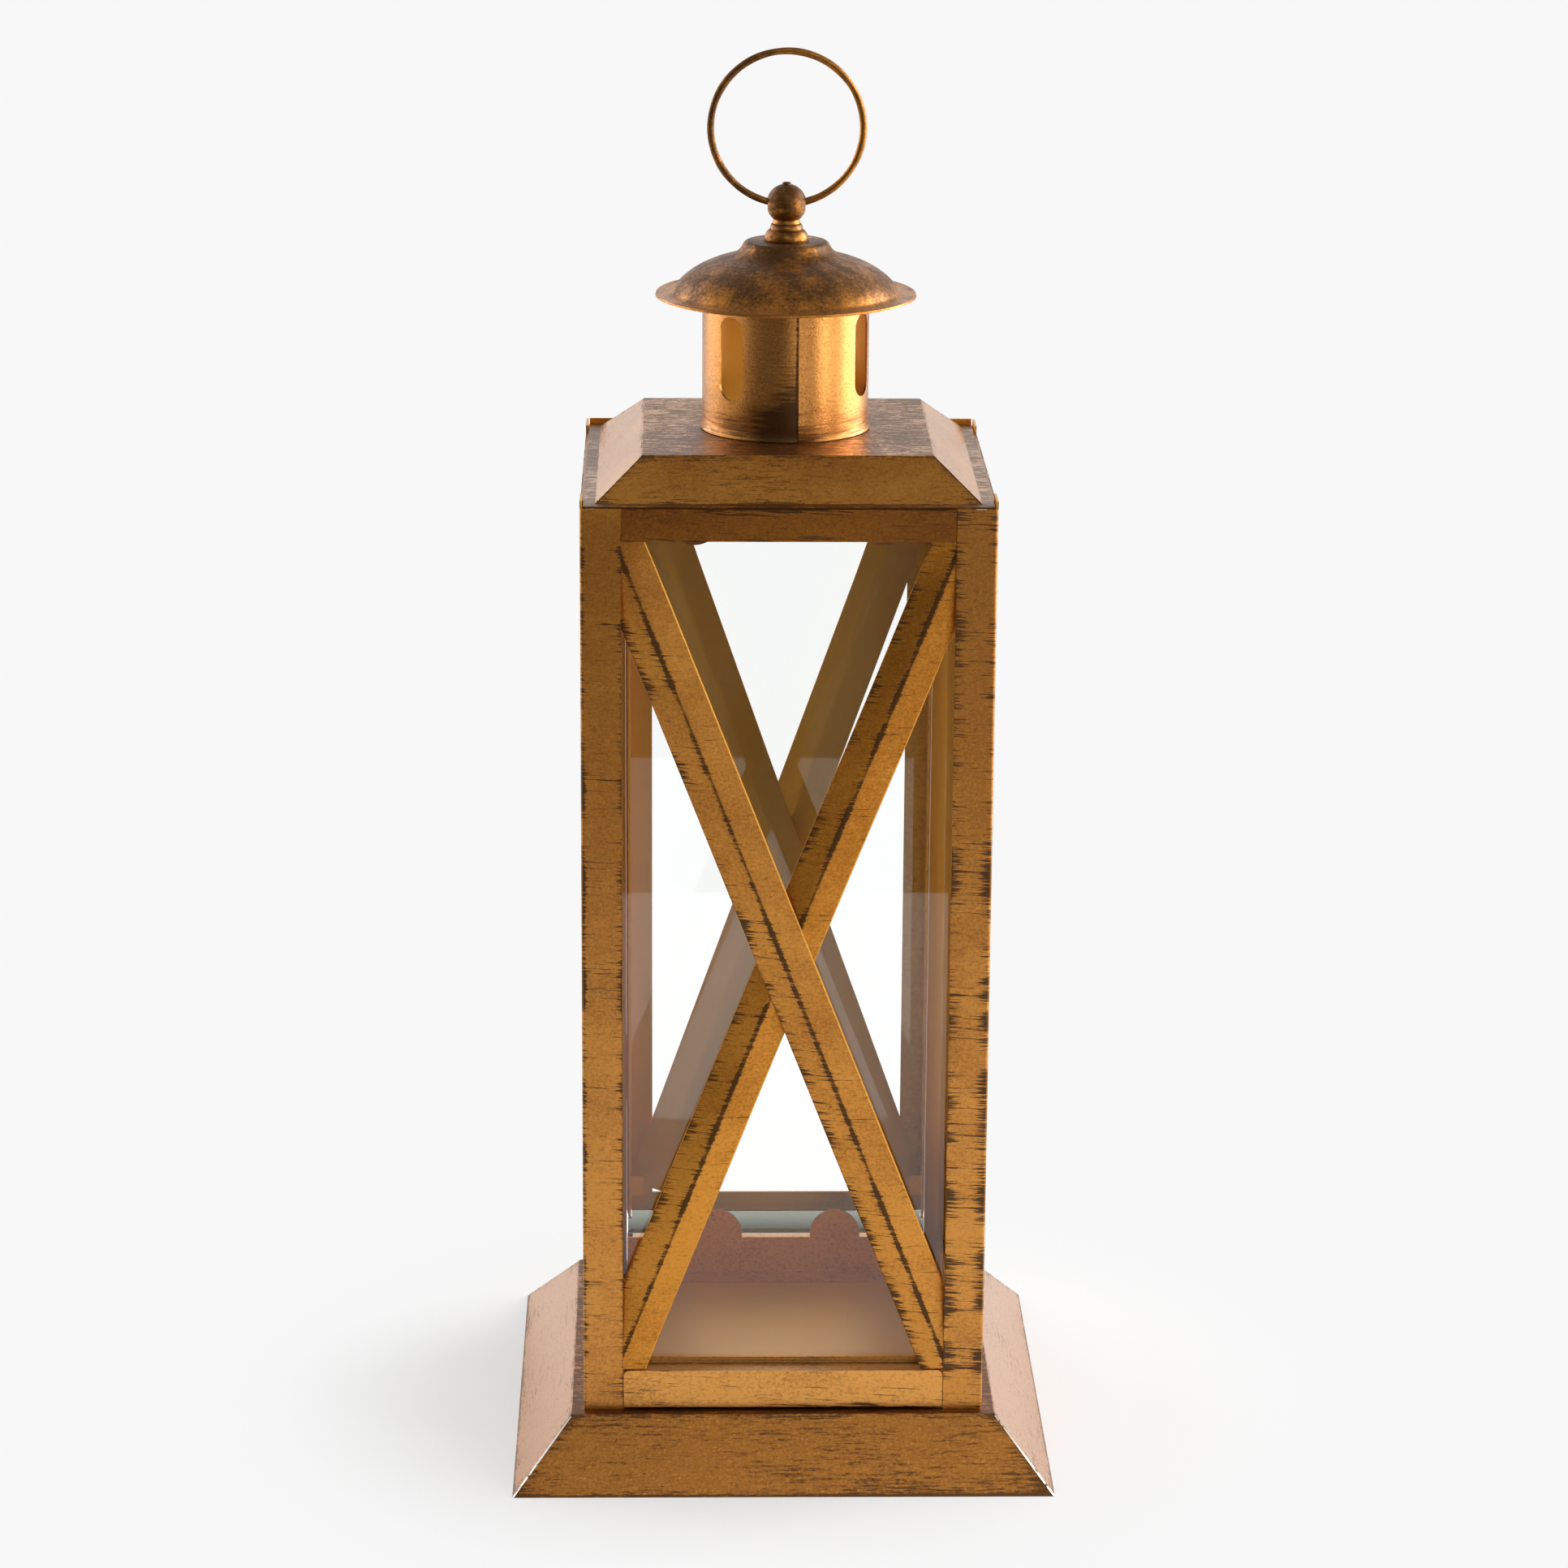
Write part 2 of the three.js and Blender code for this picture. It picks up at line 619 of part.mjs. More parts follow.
// A butt hinge: two knuckles on the post's leaf, one on the door's, and a pin.
function buildHinge(name, height) {
  const bore = HINGE_PIN_RADIUS + PIN_CLEARANCE;
  const end = HINGE_LENGTH / 2;
  const third = HINGE_LENGTH / 6;
  const axis = [HINGE_AXIS_X, HINGE_AXIS_Y, height];
  const clear = rod(KNUCKLE_RADIUS + PIN_CLEARANCE, -third - GAP, third + GAP);
  const clearEnds = joined(
    rod(KNUCKLE_RADIUS + PIN_CLEARANCE, third - GAP, end + GAP),
    rod(KNUCKLE_RADIUS + PIN_CLEARANCE, -end - GAP, -third + GAP),
  );
  const hole = rod(bore, -end - GAP, end + GAP);
  const leafOuter = HALF_BODY + GAP + HINGE_LEAF_SHEET - HINGE_AXIS_Y;
  const leafInner = HALF_BODY + GAP - HINGE_AXIS_Y;
  const leaf = (direction) => box(
    [Math.min(0, direction * HINGE_LEAF_WIDTH), leafInner, -end],
    [Math.max(0, direction * HINGE_LEAF_WIDTH), leafOuter, end],
  );
  const endKnuckles = joined(
    rod(KNUCKLE_RADIUS, third, end),
    rod(KNUCKLE_RADIUS, -end, -third),
  );
  const post = leaf(-1).add(endKnuckles).subtract(clear).subtract(hole);
  const door = leaf(1).add(rod(KNUCKLE_RADIUS, -third + GAP, third - GAP))
    .subtract(clearEnds).subtract(hole);
  const pin = joined(
    rod(HINGE_PIN_RADIUS, -end - GAP, end + GAP),
    rod(PIN_HEAD_RADIUS, end + GAP, end + GAP + PIN_HEAD_HEIGHT),
    rod(PIN_HEAD_RADIUS, -end - GAP - PIN_HEAD_HEIGHT, -end - GAP),
  );
  place(`${name}_hinge_post_leaf`, post.translate(axis), darkGold());
  place(`${name}_hinge_door_leaf`, door.translate(axis), darkGold());
  place(`${name}_hinge_pin`, pin.translate(axis), darkGold());
}

// The turn button hangs from a rivet in the post and is turned across the door's stile.
function buildTurnButton() {
  const radius = BUTTON_WIDTH / 2;
  const outline = new THREE.Shape();
  outline.absarc(0, 0, radius, 0, Math.PI);
  outline.absarc(0, radius - BUTTON_REACH, radius, Math.PI, Math.PI * 2);
  const hole = rod(RIVET_RADIUS + PIN_CLEARANCE, -BUTTON_SHEET, BUTTON_SHEET * 2);
  const lug = box(
    [-BUTTON_SHEET / 2, -BUTTON_REACH + radius * 0.4, BUTTON_SHEET / 2],
    [BUTTON_SHEET / 2, -radius * 1.5, BUTTON_SHEET + BUTTON_LUG_HEIGHT],
  );
  const plate = solid(raised(outline, BUTTON_SHEET, 10)).add(lug).subtract(hole);
  const face = HALF_BODY + GAP + HINGE_LEAF_SHEET;
  const pivot = [BUTTON_X, face, BUTTON_HEIGHT];
  const flip = (body) => body.rotate([90, 0, 0]).rotate([0, 0, 180]).translate(pivot);
  place('turn_button', flip(plate), darkGold());
  const headLow = BUTTON_SHEET + GAP;
  const shank = joined(
    rod(RIVET_RADIUS, -(face - HALF_BODY), headLow),
    rod(RIVET_RADIUS * 1.6, -(face - HALF_BODY), -GAP),
    turnedSolid([
      [0, headLow],
      [RIVET_HEAD_RADIUS, headLow],
      [RIVET_HEAD_RADIUS * 0.85, headLow + RIVET_HEAD_HEIGHT * 0.65],
      [0, headLow + RIVET_HEAD_HEIGHT],
    ], SMALL_SEGMENTS),
  );
  place('turn_button_rivet', flip(shank), darkGold());
}

function buildRoof() {
  const shell = foldedHood({
    footHalf: ROOF_FOOT_WIDTH / 2,
    topHalf: ROOF_TOP_WIDTH / 2,
    foot: EAVE,
    top: ROOF_TOP,
    seam: ROOF_SEAM,
    brimHalf: HALF_BODY - SHEET - GAP,
  });
  const hole = rod(CHIMNEY_RADIUS + GAP, ROOF_TOP - SHEET * 2, ROOF_TOP + SHEET, SEGMENTS);
  place('roof', shell.subtract(hole), antiqueGold());
}

function atAzimuth(degrees) {
  const angle = THREE.MathUtils.degToRad(degrees);
  return [Math.sin(angle), -Math.cos(angle)];
}

// The outer end of the rolled sheet lies proud and runs in over the lap's span.
function lapStrip(zLow, zHigh) {
  const steps = 10;
  const outer = [];
  const inner = [];
  for (let i = 0; i <= steps; i += 1) {
    const [x, y] = atAzimuth(CHIMNEY_LAP_AZIMUTH + (CHIMNEY_LAP_SPAN * i) / steps);
    const proud = CHIMNEY_RADIUS + SHEET * (1 - i / steps);
    outer.push([x * proud, y * proud]);
    inner.push([x * (CHIMNEY_RADIUS - SHEET / 2), y * (CHIMNEY_RADIUS - SHEET / 2)]);
  }
  const strip = raised(polygon([...outer, ...inner.reverse()]), zHigh - zLow);
  return solid(strip).translate([0, 0, zLow]);
}

function slotCutter(azimuth) {
  const radius = SLOT_WIDTH / 2;
  const low = ROOF_TOP + SLOT_BOTTOM;
  const outline = new THREE.Shape();
  outline.absarc(0, low + SLOT_HEIGHT - radius, radius, 0, Math.PI);
  outline.absarc(0, low + radius, radius, Math.PI, Math.PI * 2);
  return upright(outline, -CHIMNEY_RADIUS * 1.2, -CHIMNEY_RADIUS * 0.5, 8)
    .rotate([0, 0, azimuth]);
}

function capUnderside(radius) {
  const points = capFace();
  for (let i = 0; i + 1 < points.length; i += 1) {
    const [r0, z0] = points[i];
    const [r1, z1] = points[i + 1];
    if (radius >= r0 && radius <= r1 && r1 > r0) {
      const fall = (z0 - z1) / (r1 - r0);
      const height = z0 + ((z1 - z0) * (radius - r0)) / (r1 - r0);
      return height - SHEET * Math.hypot(1, fall);
    }
  }
  return CAP_BRIM;
}

function buildChimney() {
  const low = ROOF_TOP - CHIMNEY_TAIL;
  const high = capUnderside(CHIMNEY_RADIUS) - GAP * 2;
  const inner = CHIMNEY_RADIUS - SHEET;
  const wall = turnedSolid([
    [inner, low],
    [CHIMNEY_RADIUS, low],
    [CHIMNEY_RADIUS, ROOF_TOP + GAP],
    [CHIMNEY_RADIUS + CHIMNEY_FLARE, ROOF_TOP + GAP],
    [CHIMNEY_RADIUS + CHIMNEY_FLARE * 0.4, ROOF_TOP + FLARE_KNEE],
    [CHIMNEY_RADIUS, ROOF_TOP + FLARE_TOP],
    [CHIMNEY_RADIUS, high],
    [inner, high],
  ]);
  const tabTop = ROOF_TOP - SHEET - GAP;
  const footTab = box(
    [-CHIMNEY_TAB_WIDTH / 2, -CHIMNEY_RADIUS - CHIMNEY_TAB_LENGTH, tabTop - SHEET],
    [CHIMNEY_TAB_WIDTH / 2, -inner - SHEET / 4, tabTop],
  );
  let shell = wall.add(lapStrip(ROOF_TOP + GAP, high));
  for (let i = 0; i < CHIMNEY_TAB_COUNT; i += 1) {
    shell = shell.add(footTab.rotate([0, 0, (360 * (i + 0.5)) / CHIMNEY_TAB_COUNT]));
  }
  for (const azimuth of SLOT_AZIMUTHS) {
    shell = shell.subtract(slotCutter(azimuth));
  }
  place('chimney_tube', shell, brightGold());
}

// The outer face of the spun cap, from the hole for the stud out to the brim.
function capFace() {
  const path = new THREE.Path();
  const shoulder = CAP_TOP - 5.2;
  const crownFoot = CAP_BRIM + 2.2;
  path.moveTo(STUD_RADIUS + GAP, CAP_TOP);
  path.lineTo(CAP_TOP_RADIUS - 1.4, CAP_TOP);
  path.quadraticCurveTo(CAP_TOP_RADIUS, CAP_TOP, CAP_TOP_RADIUS + 0.7, CAP_TOP - 1.3);
  path.bezierCurveTo(
    CAP_TOP_RADIUS + 1.9,
    CAP_TOP - 4,
    CAP_TOP_RADIUS + 3.6,
    shoulder,
    CAP_TOP_RADIUS + 8.2,
    shoulder - 1.2,
  );
  path.bezierCurveTo(
    CAP_TOP_RADIUS + 16,
    shoulder - 3.4,
    CAP_CROWN_RADIUS - 3.2,
    crownFoot + 5.4,
    CAP_CROWN_RADIUS,
    crownFoot,
  );
  path.bezierCurveTo(
    CAP_CROWN_RADIUS + 1,
    CAP_BRIM + 0.7,
    CAP_BRIM_RADIUS - 3,
    CAP_BRIM - 0.2,
    CAP_BRIM_RADIUS,
    CAP_BRIM + 0.9,
  );
  const points = path.getPoints(CAP_CURVE_STEPS);
  return points.filter((p, i) => i === 0 || p.distanceTo(points[i - 1]) > 1e-3)
    .map((p) => [p.x, p.y]);
}

function buildCap() {
  const profile = sheetProfile(capFace(), SHEET);
  place('cap', turnedSolid(profile), darkGold());
  const washerTop = CAP_TOP - SHEET - GAP;
  const washerLow = washerTop - WASHER_THICKNESS;
  const washer = tube(STUD_RADIUS + GAP, WASHER_RADIUS, washerLow, washerTop, KNOB_SEGMENTS);
  place('cap_washer', washer, plainSteel());
  const nutTop = washerLow - GAP;
  const nutCorner = NUT_ACROSS_FLATS / Math.sqrt(3);
  const nut = rod(nutCorner, nutTop - NUT_HEIGHT, nutTop, 6)
    .subtract(rod(STUD_RADIUS + GAP, nutTop - NUT_HEIGHT - 1, nutTop + 1));
  place('cap_nut', nut, plainSteel());
}

function buildFinial() {
  const bore = STUD_RADIUS + GAP;
  const bell = CAP_TOP;
  const foot = turnedSolid([
    [bore, bell],
    [FOOT_RADIUS, bell],
    [FOOT_RADIUS + 0.15, bell + 0.5],
    [FOOT_RADIUS - 0.4, bell + 1.2],
    [FOOT_RADIUS - 0.6, bell + 2.4],
    [FOOT_RADIUS - 1.3, bell + 3.6],
    [FOOT_RADIUS - 2, bell + 4.1],
    [FOOT_RADIUS - 1.9, bell + 4.7],
    [FOOT_RADIUS - 2, bell + 5.4],
    [FOOT_RADIUS - 2.6, FOOT_TOP],
    [bore, FOOT_TOP],
  ], KNOB_SEGMENTS);
  place('finial_foot', foot, brightGold());
  place('finial_ball', ballBody().subtract(ringHole()), darkGold());
}

function ballBody() {
  const points = [[0, CAP_TOP - STUD_TAIL], [STUD_RADIUS, CAP_TOP - STUD_TAIL]];
  points.push([STUD_RADIUS, FOOT_TOP + GAP], [NECK_RADIUS, FOOT_TOP + GAP]);
  const neckAngle = Math.asin((BALL_RADIUS - BALL_SINK) / BALL_RADIUS);
  const nubAngle = Math.acos(NUB_RADIUS / BALL_RADIUS);
  const steps = 11;
  for (let i = 0; i <= steps; i += 1) {
    const angle = -neckAngle + ((nubAngle + neckAngle) * i) / steps;
    points.push([
      BALL_RADIUS * Math.cos(angle),
      BALL_CENTRE + BALL_RADIUS * Math.sin(angle),
    ]);
  }
  const nubFoot = BALL_CENTRE + BALL_RADIUS * Math.sin(nubAngle);
  points.push([NUB_RADIUS * 0.9, nubFoot + NUB_HEIGHT * 0.7]);
  points.push([NUB_RADIUS * 0.5, nubFoot + NUB_HEIGHT]);
  points.push([0, nubFoot + NUB_HEIGHT]);
  return turnedSolid(points, KNOB_SEGMENTS);
}

// The hole widens outwards by as much as the ring curves away from a straight line.
function ringHole() {
  const reach = BALL_RADIUS + 1;
  const steps = 8;
  const profile = [[0, -reach]];
  for (let i = 0; i <= steps; i += 1) {
    const along = -reach + (2 * reach * i) / steps;
    const sag = RING_RADIUS - Math.sqrt(RING_RADIUS ** 2 - along ** 2);
    profile.push([WIRE_RADIUS + RING_CLEARANCE + sag, along]);
  }
  profile.push([0, reach]);
  return turnedSolid(profile, SMALL_SEGMENTS)
    .rotate([0, 90, 0])
    .translate([0, 0, BALL_CENTRE]);
}

function buildRing() {
  const wire = new THREE.TorusGeometry(RING_RADIUS, WIRE_RADIUS, WIRE_SIDES, RING_STEPS);
  wire.rotateX(Math.PI / 2);
  wire.translate(0, 0, BALL_CENTRE + RING_RADIUS);
  place('ring_handle', solid(wire), darkGold());
}

buildPlinth();
buildPosts();
buildSides();
buildBackFrame();
buildDoor();
buildHinge('lower', HINGE_HEIGHTS[0]);
buildHinge('upper', HINGE_HEIGHTS[1]);
buildTurnButton();
buildRoof();
buildChimney();
buildCap();
buildFinial();
buildRing();

export default group;
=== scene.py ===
# %% [markdown]
# A tall lantern of folded sheet metal
#
# The lantern is made of thin sheet, folded, spun and rolled, and painted in antique
# gold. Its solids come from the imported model. This lesson gives them their finishes,
# and remakes the round and folded pieces with more detail. Everything is in metres, in
# the model's own frame: Z is up and the front faces -Y.

# %% Load the solids
import math

import bmesh
import bpy
from mathutils import Matrix, Vector


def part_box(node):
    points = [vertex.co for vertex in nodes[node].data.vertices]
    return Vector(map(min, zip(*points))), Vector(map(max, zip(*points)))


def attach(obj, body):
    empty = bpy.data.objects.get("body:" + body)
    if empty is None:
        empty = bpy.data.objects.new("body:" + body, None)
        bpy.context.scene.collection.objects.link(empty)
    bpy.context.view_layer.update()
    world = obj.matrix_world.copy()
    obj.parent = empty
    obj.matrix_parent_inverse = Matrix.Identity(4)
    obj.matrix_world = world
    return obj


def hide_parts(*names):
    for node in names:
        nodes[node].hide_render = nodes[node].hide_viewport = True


MM = 0.001

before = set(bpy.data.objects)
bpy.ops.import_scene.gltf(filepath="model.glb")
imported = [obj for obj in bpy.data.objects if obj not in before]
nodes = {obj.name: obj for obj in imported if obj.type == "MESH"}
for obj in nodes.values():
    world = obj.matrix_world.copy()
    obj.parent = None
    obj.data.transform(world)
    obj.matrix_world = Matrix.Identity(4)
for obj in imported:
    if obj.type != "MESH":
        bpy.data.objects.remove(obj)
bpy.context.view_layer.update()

# %% [markdown]
# The camera
#
# The camera was solved for from the corners of the plinth, the posts and the roof,
# which gives its place, its three turns and a long lens. The long lens is why the
# lantern's upright edges hardly run together.

# %% Place the camera
CAMERA_PLACE = Vector((-41.2, -1779.2, 751.2)) * MM
CAMERA_YAW = 0.02345
CAMERA_PITCH = 0.27565
CAMERA_ROLL = 0.00691
CAMERA_LENS = 112.0


def put(name, data):
    """Puts a new object into the scene."""
    thing = bpy.data.objects.new(name, data)
    bpy.context.scene.collection.objects.link(thing)
    return thing


forward = Vector((
    math.sin(CAMERA_YAW) * math.cos(CAMERA_PITCH),
    math.cos(CAMERA_YAW) * math.cos(CAMERA_PITCH),
    -math.sin(CAMERA_PITCH),
))
level = Vector((math.cos(CAMERA_YAW), -math.sin(CAMERA_YAW), 0))
upward = level.cross(forward)
right = math.cos(CAMERA_ROLL) * level + math.sin(CAMERA_ROLL) * upward
up = math.cos(CAMERA_ROLL) * upward - math.sin(CAMERA_ROLL) * level

camera_data = bpy.data.cameras.new("camera")
camera_data.lens = CAMERA_LENS
camera_data.sensor_width = 36.0
camera_data.clip_end = 60.0
camera = put("camera", camera_data)
axes = Matrix((right, up, -forward)).transposed()
camera.matrix_world = Matrix.Translation(CAMERA_PLACE) @ axes.to_4x4()
bpy.context.scene.camera = camera
bpy.context.scene.view_settings.view_transform = "Standard"
print(f"camera {CAMERA_PLACE.length:.2f} m from the plinth's centre")

# %% [markdown]
# Arithmetic with sockets
#
# A finish is a sum of masks: distance from an edge, a streaky noise, a few limits.
# One small class stands for a node's output, so that a + b adds a Math node. Any other
# node comes from the method `node`, which takes its type, settings and sockets.

# %% Define the wire
class Wire:
    """One output of a shader node, with the arithmetic that is used on it."""

    def __init__(self, tree, socket=None):
        self.tree = tree
        self.socket = socket

    def node(self, kind, settings=None, sockets=None, output=0):
        made = self.tree.nodes.new("ShaderNode" + kind)
        for name, value in (settings or {}).items():
            setattr(made, name, value)
        for name, value in (sockets or {}).items():
            if isinstance(value, Wire):
                self.tree.links.new(value.socket, made.inputs[name])
            else:
                made.inputs[name].default_value = value
        return Wire(self.tree, made.outputs[output])

    def math(self, operation, *values):
        return self.node("Math", {"operation": operation}, dict(enumerate(values)))

    def __add__(self, other):
        return self.math("ADD", self, other)

    def __radd__(self, other):
        return self.math("ADD", other, self)

    def __sub__(self, other):
        return self.math("SUBTRACT", self, other)

    def __rsub__(self, other):
        return self.math("SUBTRACT", other, self)

    def __mul__(self, other):
        return self.math("MULTIPLY", self, other)

    def __rmul__(self, other):
        return self.math("MULTIPLY", other, self)

    def __abs__(self):
        return self.math("ABSOLUTE", self)

    def low(self, other):
        return self.math("MINIMUM", self, other)

    def high(self, other):
        return self.math("MAXIMUM", self, other)

    def step(self, start, end, low=0.0, high=1.0):
        """Runs smoothly from low at start to high at end."""
        return self.node("MapRange", {"interpolation_type": "SMOOTHSTEP"}, {
            "Value": self,
            "From Min": start,
            "From Max": end,
            "To Min": low,
            "To Max": high,
        })

    def stretched(self, x, y, z):
        """The same vector with each axis scaled, so a noise made from it has streaks."""
        return self.node("VectorMath", {"operation": "MULTIPLY"}, {0: self, 1: (x, y, z)})

    def dot(self, vector):
        """How far this vector reaches along another one."""
        return self.node(
            "VectorMath", {"operation": "DOT_PRODUCT"}, {0: self, 1: vector}, output="Value"
        )

    def weigh(self, other, share):
        """This number where share is 0 and the other where it is 1."""
        return self + (other - self) * share

    def noise(self, scale=1.0, detail=3.0, roughness=0.55):
        return self.node("TexNoise", None, {
            "Vector": self,
            "Scale": scale,
            "Detail": detail,
            "Roughness": roughness,
        })

    def parts(self):
        """The vector's three numbers."""
        made = self.node("SeparateXYZ", None, {0: self})
        outputs = made.socket.node.outputs
        return [Wire(self.tree, outputs[axis]) for axis in range(3)]

    def blend(self, other, share):
        """This colour where share is 0 and the other where it is 1."""
        return self.node(
            "Mix", {"data_type": "RGBA"}, {0: share, 6: self, 7: other}, output=2
        )


print("arithmetic ready")

# %% [markdown]
# The white stage
#
# The lantern stands on a plain white sweep. Close to it the floor is a matt white that
# is really lit, so it keeps the contact shadow. Further out it turns into an even
# white, which has no edge or horizon. The floor stops in front of the lantern, as a
# table does: the sill mirrors the white floor, and the roof's edge the darker room.

# %% Build the floor
WHITE = 0.9387
WHITE_THROUGH_GLASS = 1.1
FLOOR_ALBEDO = 0.92
FLOOR_FRONT = -0.80
FLOOR_REACH = 16.0
LIT_WITHIN = 0.10
EVEN_BEYOND = 0.22


def new_shader(name):
    """A material with an empty tree, and the wire that its nodes start from."""
    material = bpy.data.materials.new(name)
    material.use_nodes = True
    material.node_tree.nodes.clear()
    return material, Wire(material.node_tree)


def finish_with(tree, surface, kind="OutputMaterial"):
    """Joins the finished look to the output of its tree."""
    out = tree.nodes.new("ShaderNode" + kind)
    tree.links.new(surface.socket, out.inputs["Surface"])
    return out


def seen_directly(start):
    """Whether the eye sees this spot in the open, and whether it does through glass.

    A ray that was thrown back by metal and then left through a pane doesn't count,
    or the inside of the lantern would mirror a white room on all sides.
    """
    eye = start.node("LightPath", output="Is Camera Ray")
    outputs = eye.socket.node.outputs
    glass = Wire(start.tree, outputs["Is Transmission Ray"])
    glossy = Wire(start.tree, outputs["Glossy Depth"])
    diffuse = Wire(start.tree, outputs["Diffuse Depth"])
    return eye, glass * (1 - (glossy + diffuse).low(1.0))


floor_material, start = new_shader("white_sweep")
place = start.node("NewGeometry", output="Position")
distance = start.node("VectorMath", {"operation": "LENGTH"}, {0: place}, output="Value")
eye, glass = seen_directly(start)
even = distance.step(LIT_WITHIN, EVEN_BEYOND, 0.45, 1.0)
lit = start.node("BsdfDiffuse", None, {"Color": (FLOOR_ALBEDO,) * 3 + (1.0,)})
open_white = start.node("Emission", None, {"Strength": WHITE})
glass_white = start.node("Emission", None, {"Strength": WHITE_THROUGH_GLASS})
floor_look = start.node("MixShader", None, {0: eye * even, 1: lit, 2: open_white})
floor_look = start.node("MixShader", None, {0: glass * even, 1: floor_look, 2: glass_white})
finish_with(start.tree, floor_look)

floor_mesh = bpy.data.meshes.new("floor")
reach = FLOOR_REACH
corners = [(-reach, FLOOR_FRONT), (reach, FLOOR_FRONT), (reach, reach), (-reach, reach)]
floor_mesh.from_pydata([(x, y, 0) for x, y in corners], [], [(0, 1, 2, 3)])
floor_mesh.materials.append(floor_material)
put("floor", floor_mesh)
print(f"floor from y {FLOOR_FRONT} m")

# %% [markdown]
# The room
#
# Painted metal shows its surroundings more than its own colour, and a room that is
# white all round would wash the gold out. A studio has white walls beside and behind
# the subject and is darker behind the camera, as the world's colour is here. Seen
# directly the room is the same even white as the floor, so that no horizon shows.

# %% Paint the room
ROOM_WHITE = 1.0
ROOM_FRONT = 0.08
ROOM_TOP = 0.36

world = bpy.data.worlds.new("room")
bpy.context.scene.world = world
world.use_nodes = True
world.node_tree.nodes.clear()
start = Wire(world.node_tree)
_, toward_y, toward_z = start.node("TexCoord", output="Generated").parts()
in_front = toward_y.step(0.1, -0.75)
overhead = toward_z.step(0.35, 0.9)
shade = ROOM_WHITE - in_front * (ROOM_WHITE - ROOM_FRONT)
shade = shade - overhead * (shade - ROOM_TOP)
eye, glass = seen_directly(start)
walls = start.node("Background", None, {"Color": shade})
white = (1.0, 1.0, 1.0, 1.0)
open_white = start.node("Background", None, {"Color": white, "Strength": WHITE})
veil = {"Color": white, "Strength": WHITE_THROUGH_GLASS}
glass_white = start.node("Background", None, veil)
room_look = start.node("MixShader", None, {0: eye, 1: walls, 2: open_white})
room_look = start.node("MixShader", None, {0: glass, 1: room_look, 2: glass_white})
finish_with(start.tree, room_look, "OutputWorld")
print(f"room: walls {ROOM_WHITE}, front {ROOM_FRONT}, ceiling {ROOM_TOP}")

# %% [markdown]
# The lamps
#
# A wide box on the right and a weaker one on the left light the two sides. A narrow
# upright box draws the bright stripe down the chimney. A high one in front fills the
# roof and the cap, and a low card brightens the sill and the feet of the posts.

# %% Hang the lamps
LAMP_AIM = Vector((0, 0, 0.25))


def soft_box(name, azimuth, height, distance, width, tall, power):
    """A white rectangular lamp that faces the lantern's middle."""
    data = bpy.data.lights.new(name, "AREA")
    data.shape = "RECTANGLE"
    data.size = width
    data.size_y = tall
    data.energy = power
    lamp = put(name, data)
    turn = math.radians(azimuth)
    place = Vector((math.sin(turn) * distance, -math.cos(turn) * distance, height))
    lamp.location = place
    lamp.rotation_mode = "QUATERNION"
    lamp.rotation_quaternion = (LAMP_AIM - place).to_track_quat("-Z", "Y")
    print(f"{name}: {power} W")


soft_box("right_box", azimuth=106, height=0.75, distance=1.5, width=1.2, tall=1.3, power=28)
soft_box("stripe_box", azimuth=55, height=0.7, distance=1.7, width=0.42, tall=1.2, power=7.5)
soft_box("left_box", azimuth=-120, height=0.8, distance=1.7, width=1.4, tall=1.4, power=12)
soft_box("front_fill", azimuth=14, height=1.9, distance=1.9, width=1.4, tall=1.0, power=6)
soft_box("low_card", azimuth=22, height=0.0, distance=1.9, width=0.9, tall=0.4, power=1.3)

# %% [markdown]
# Antique gold
#
# The paint is a golden bronze with fine metal flakes in it. After it dried, a nearly
# dry brush with dark brown went across every edge, always level, which left ragged
# dark teeth along the edges and a few long scratches. One function makes the paint,
# and each kind of piece works out its own mask for the brown from the distance to its
# edges. A clear coat on top turns pale at a grazing angle, as the sides do here.

# %% Mix the paint
GOLD = (0.690, 0.290, 0.038)
BRONZE = (0.420, 0.148, 0.013)
BROWN = (0.072, 0.034, 0.013)
# A lighter gold: the unbrushed inner coat, mixed lighter as painted light.
UNBRUSHED_AND_PAINTED_LIGHT_GOLD = (0.950, 0.470, 0.060)
COAT_ROUGHNESS = 0.3


def colour(rgb):
    """A colour as a socket takes it."""
    return (*rgb, 1.0)


def colour_between(start, first, second, share):
    """The first colour where share is 0 and the second where it is 1."""
    sockets = {0: share, 6: colour(first), 7: colour(second)}
    return start.node("Mix", {"data_type": "RGBA"}, sockets, output=2)


def from_axis(x, y):
    """The distance from the lantern's upright axis."""
    return x.math("SQRT", x * x + y * y)


def millimetres(start):
    """The place on the piece in millimetres; it stays put when the piece moves."""
    place = start.node("TexCoord", output="Object")
    return place.stretched(1000, 1000, 1000)


def new_paint(name):
    """A new material, its wire, the place on the piece, and that place's three parts."""
    material, start = new_shader(name)
    at = millimetres(start)
    return material, start, at, at.parts()


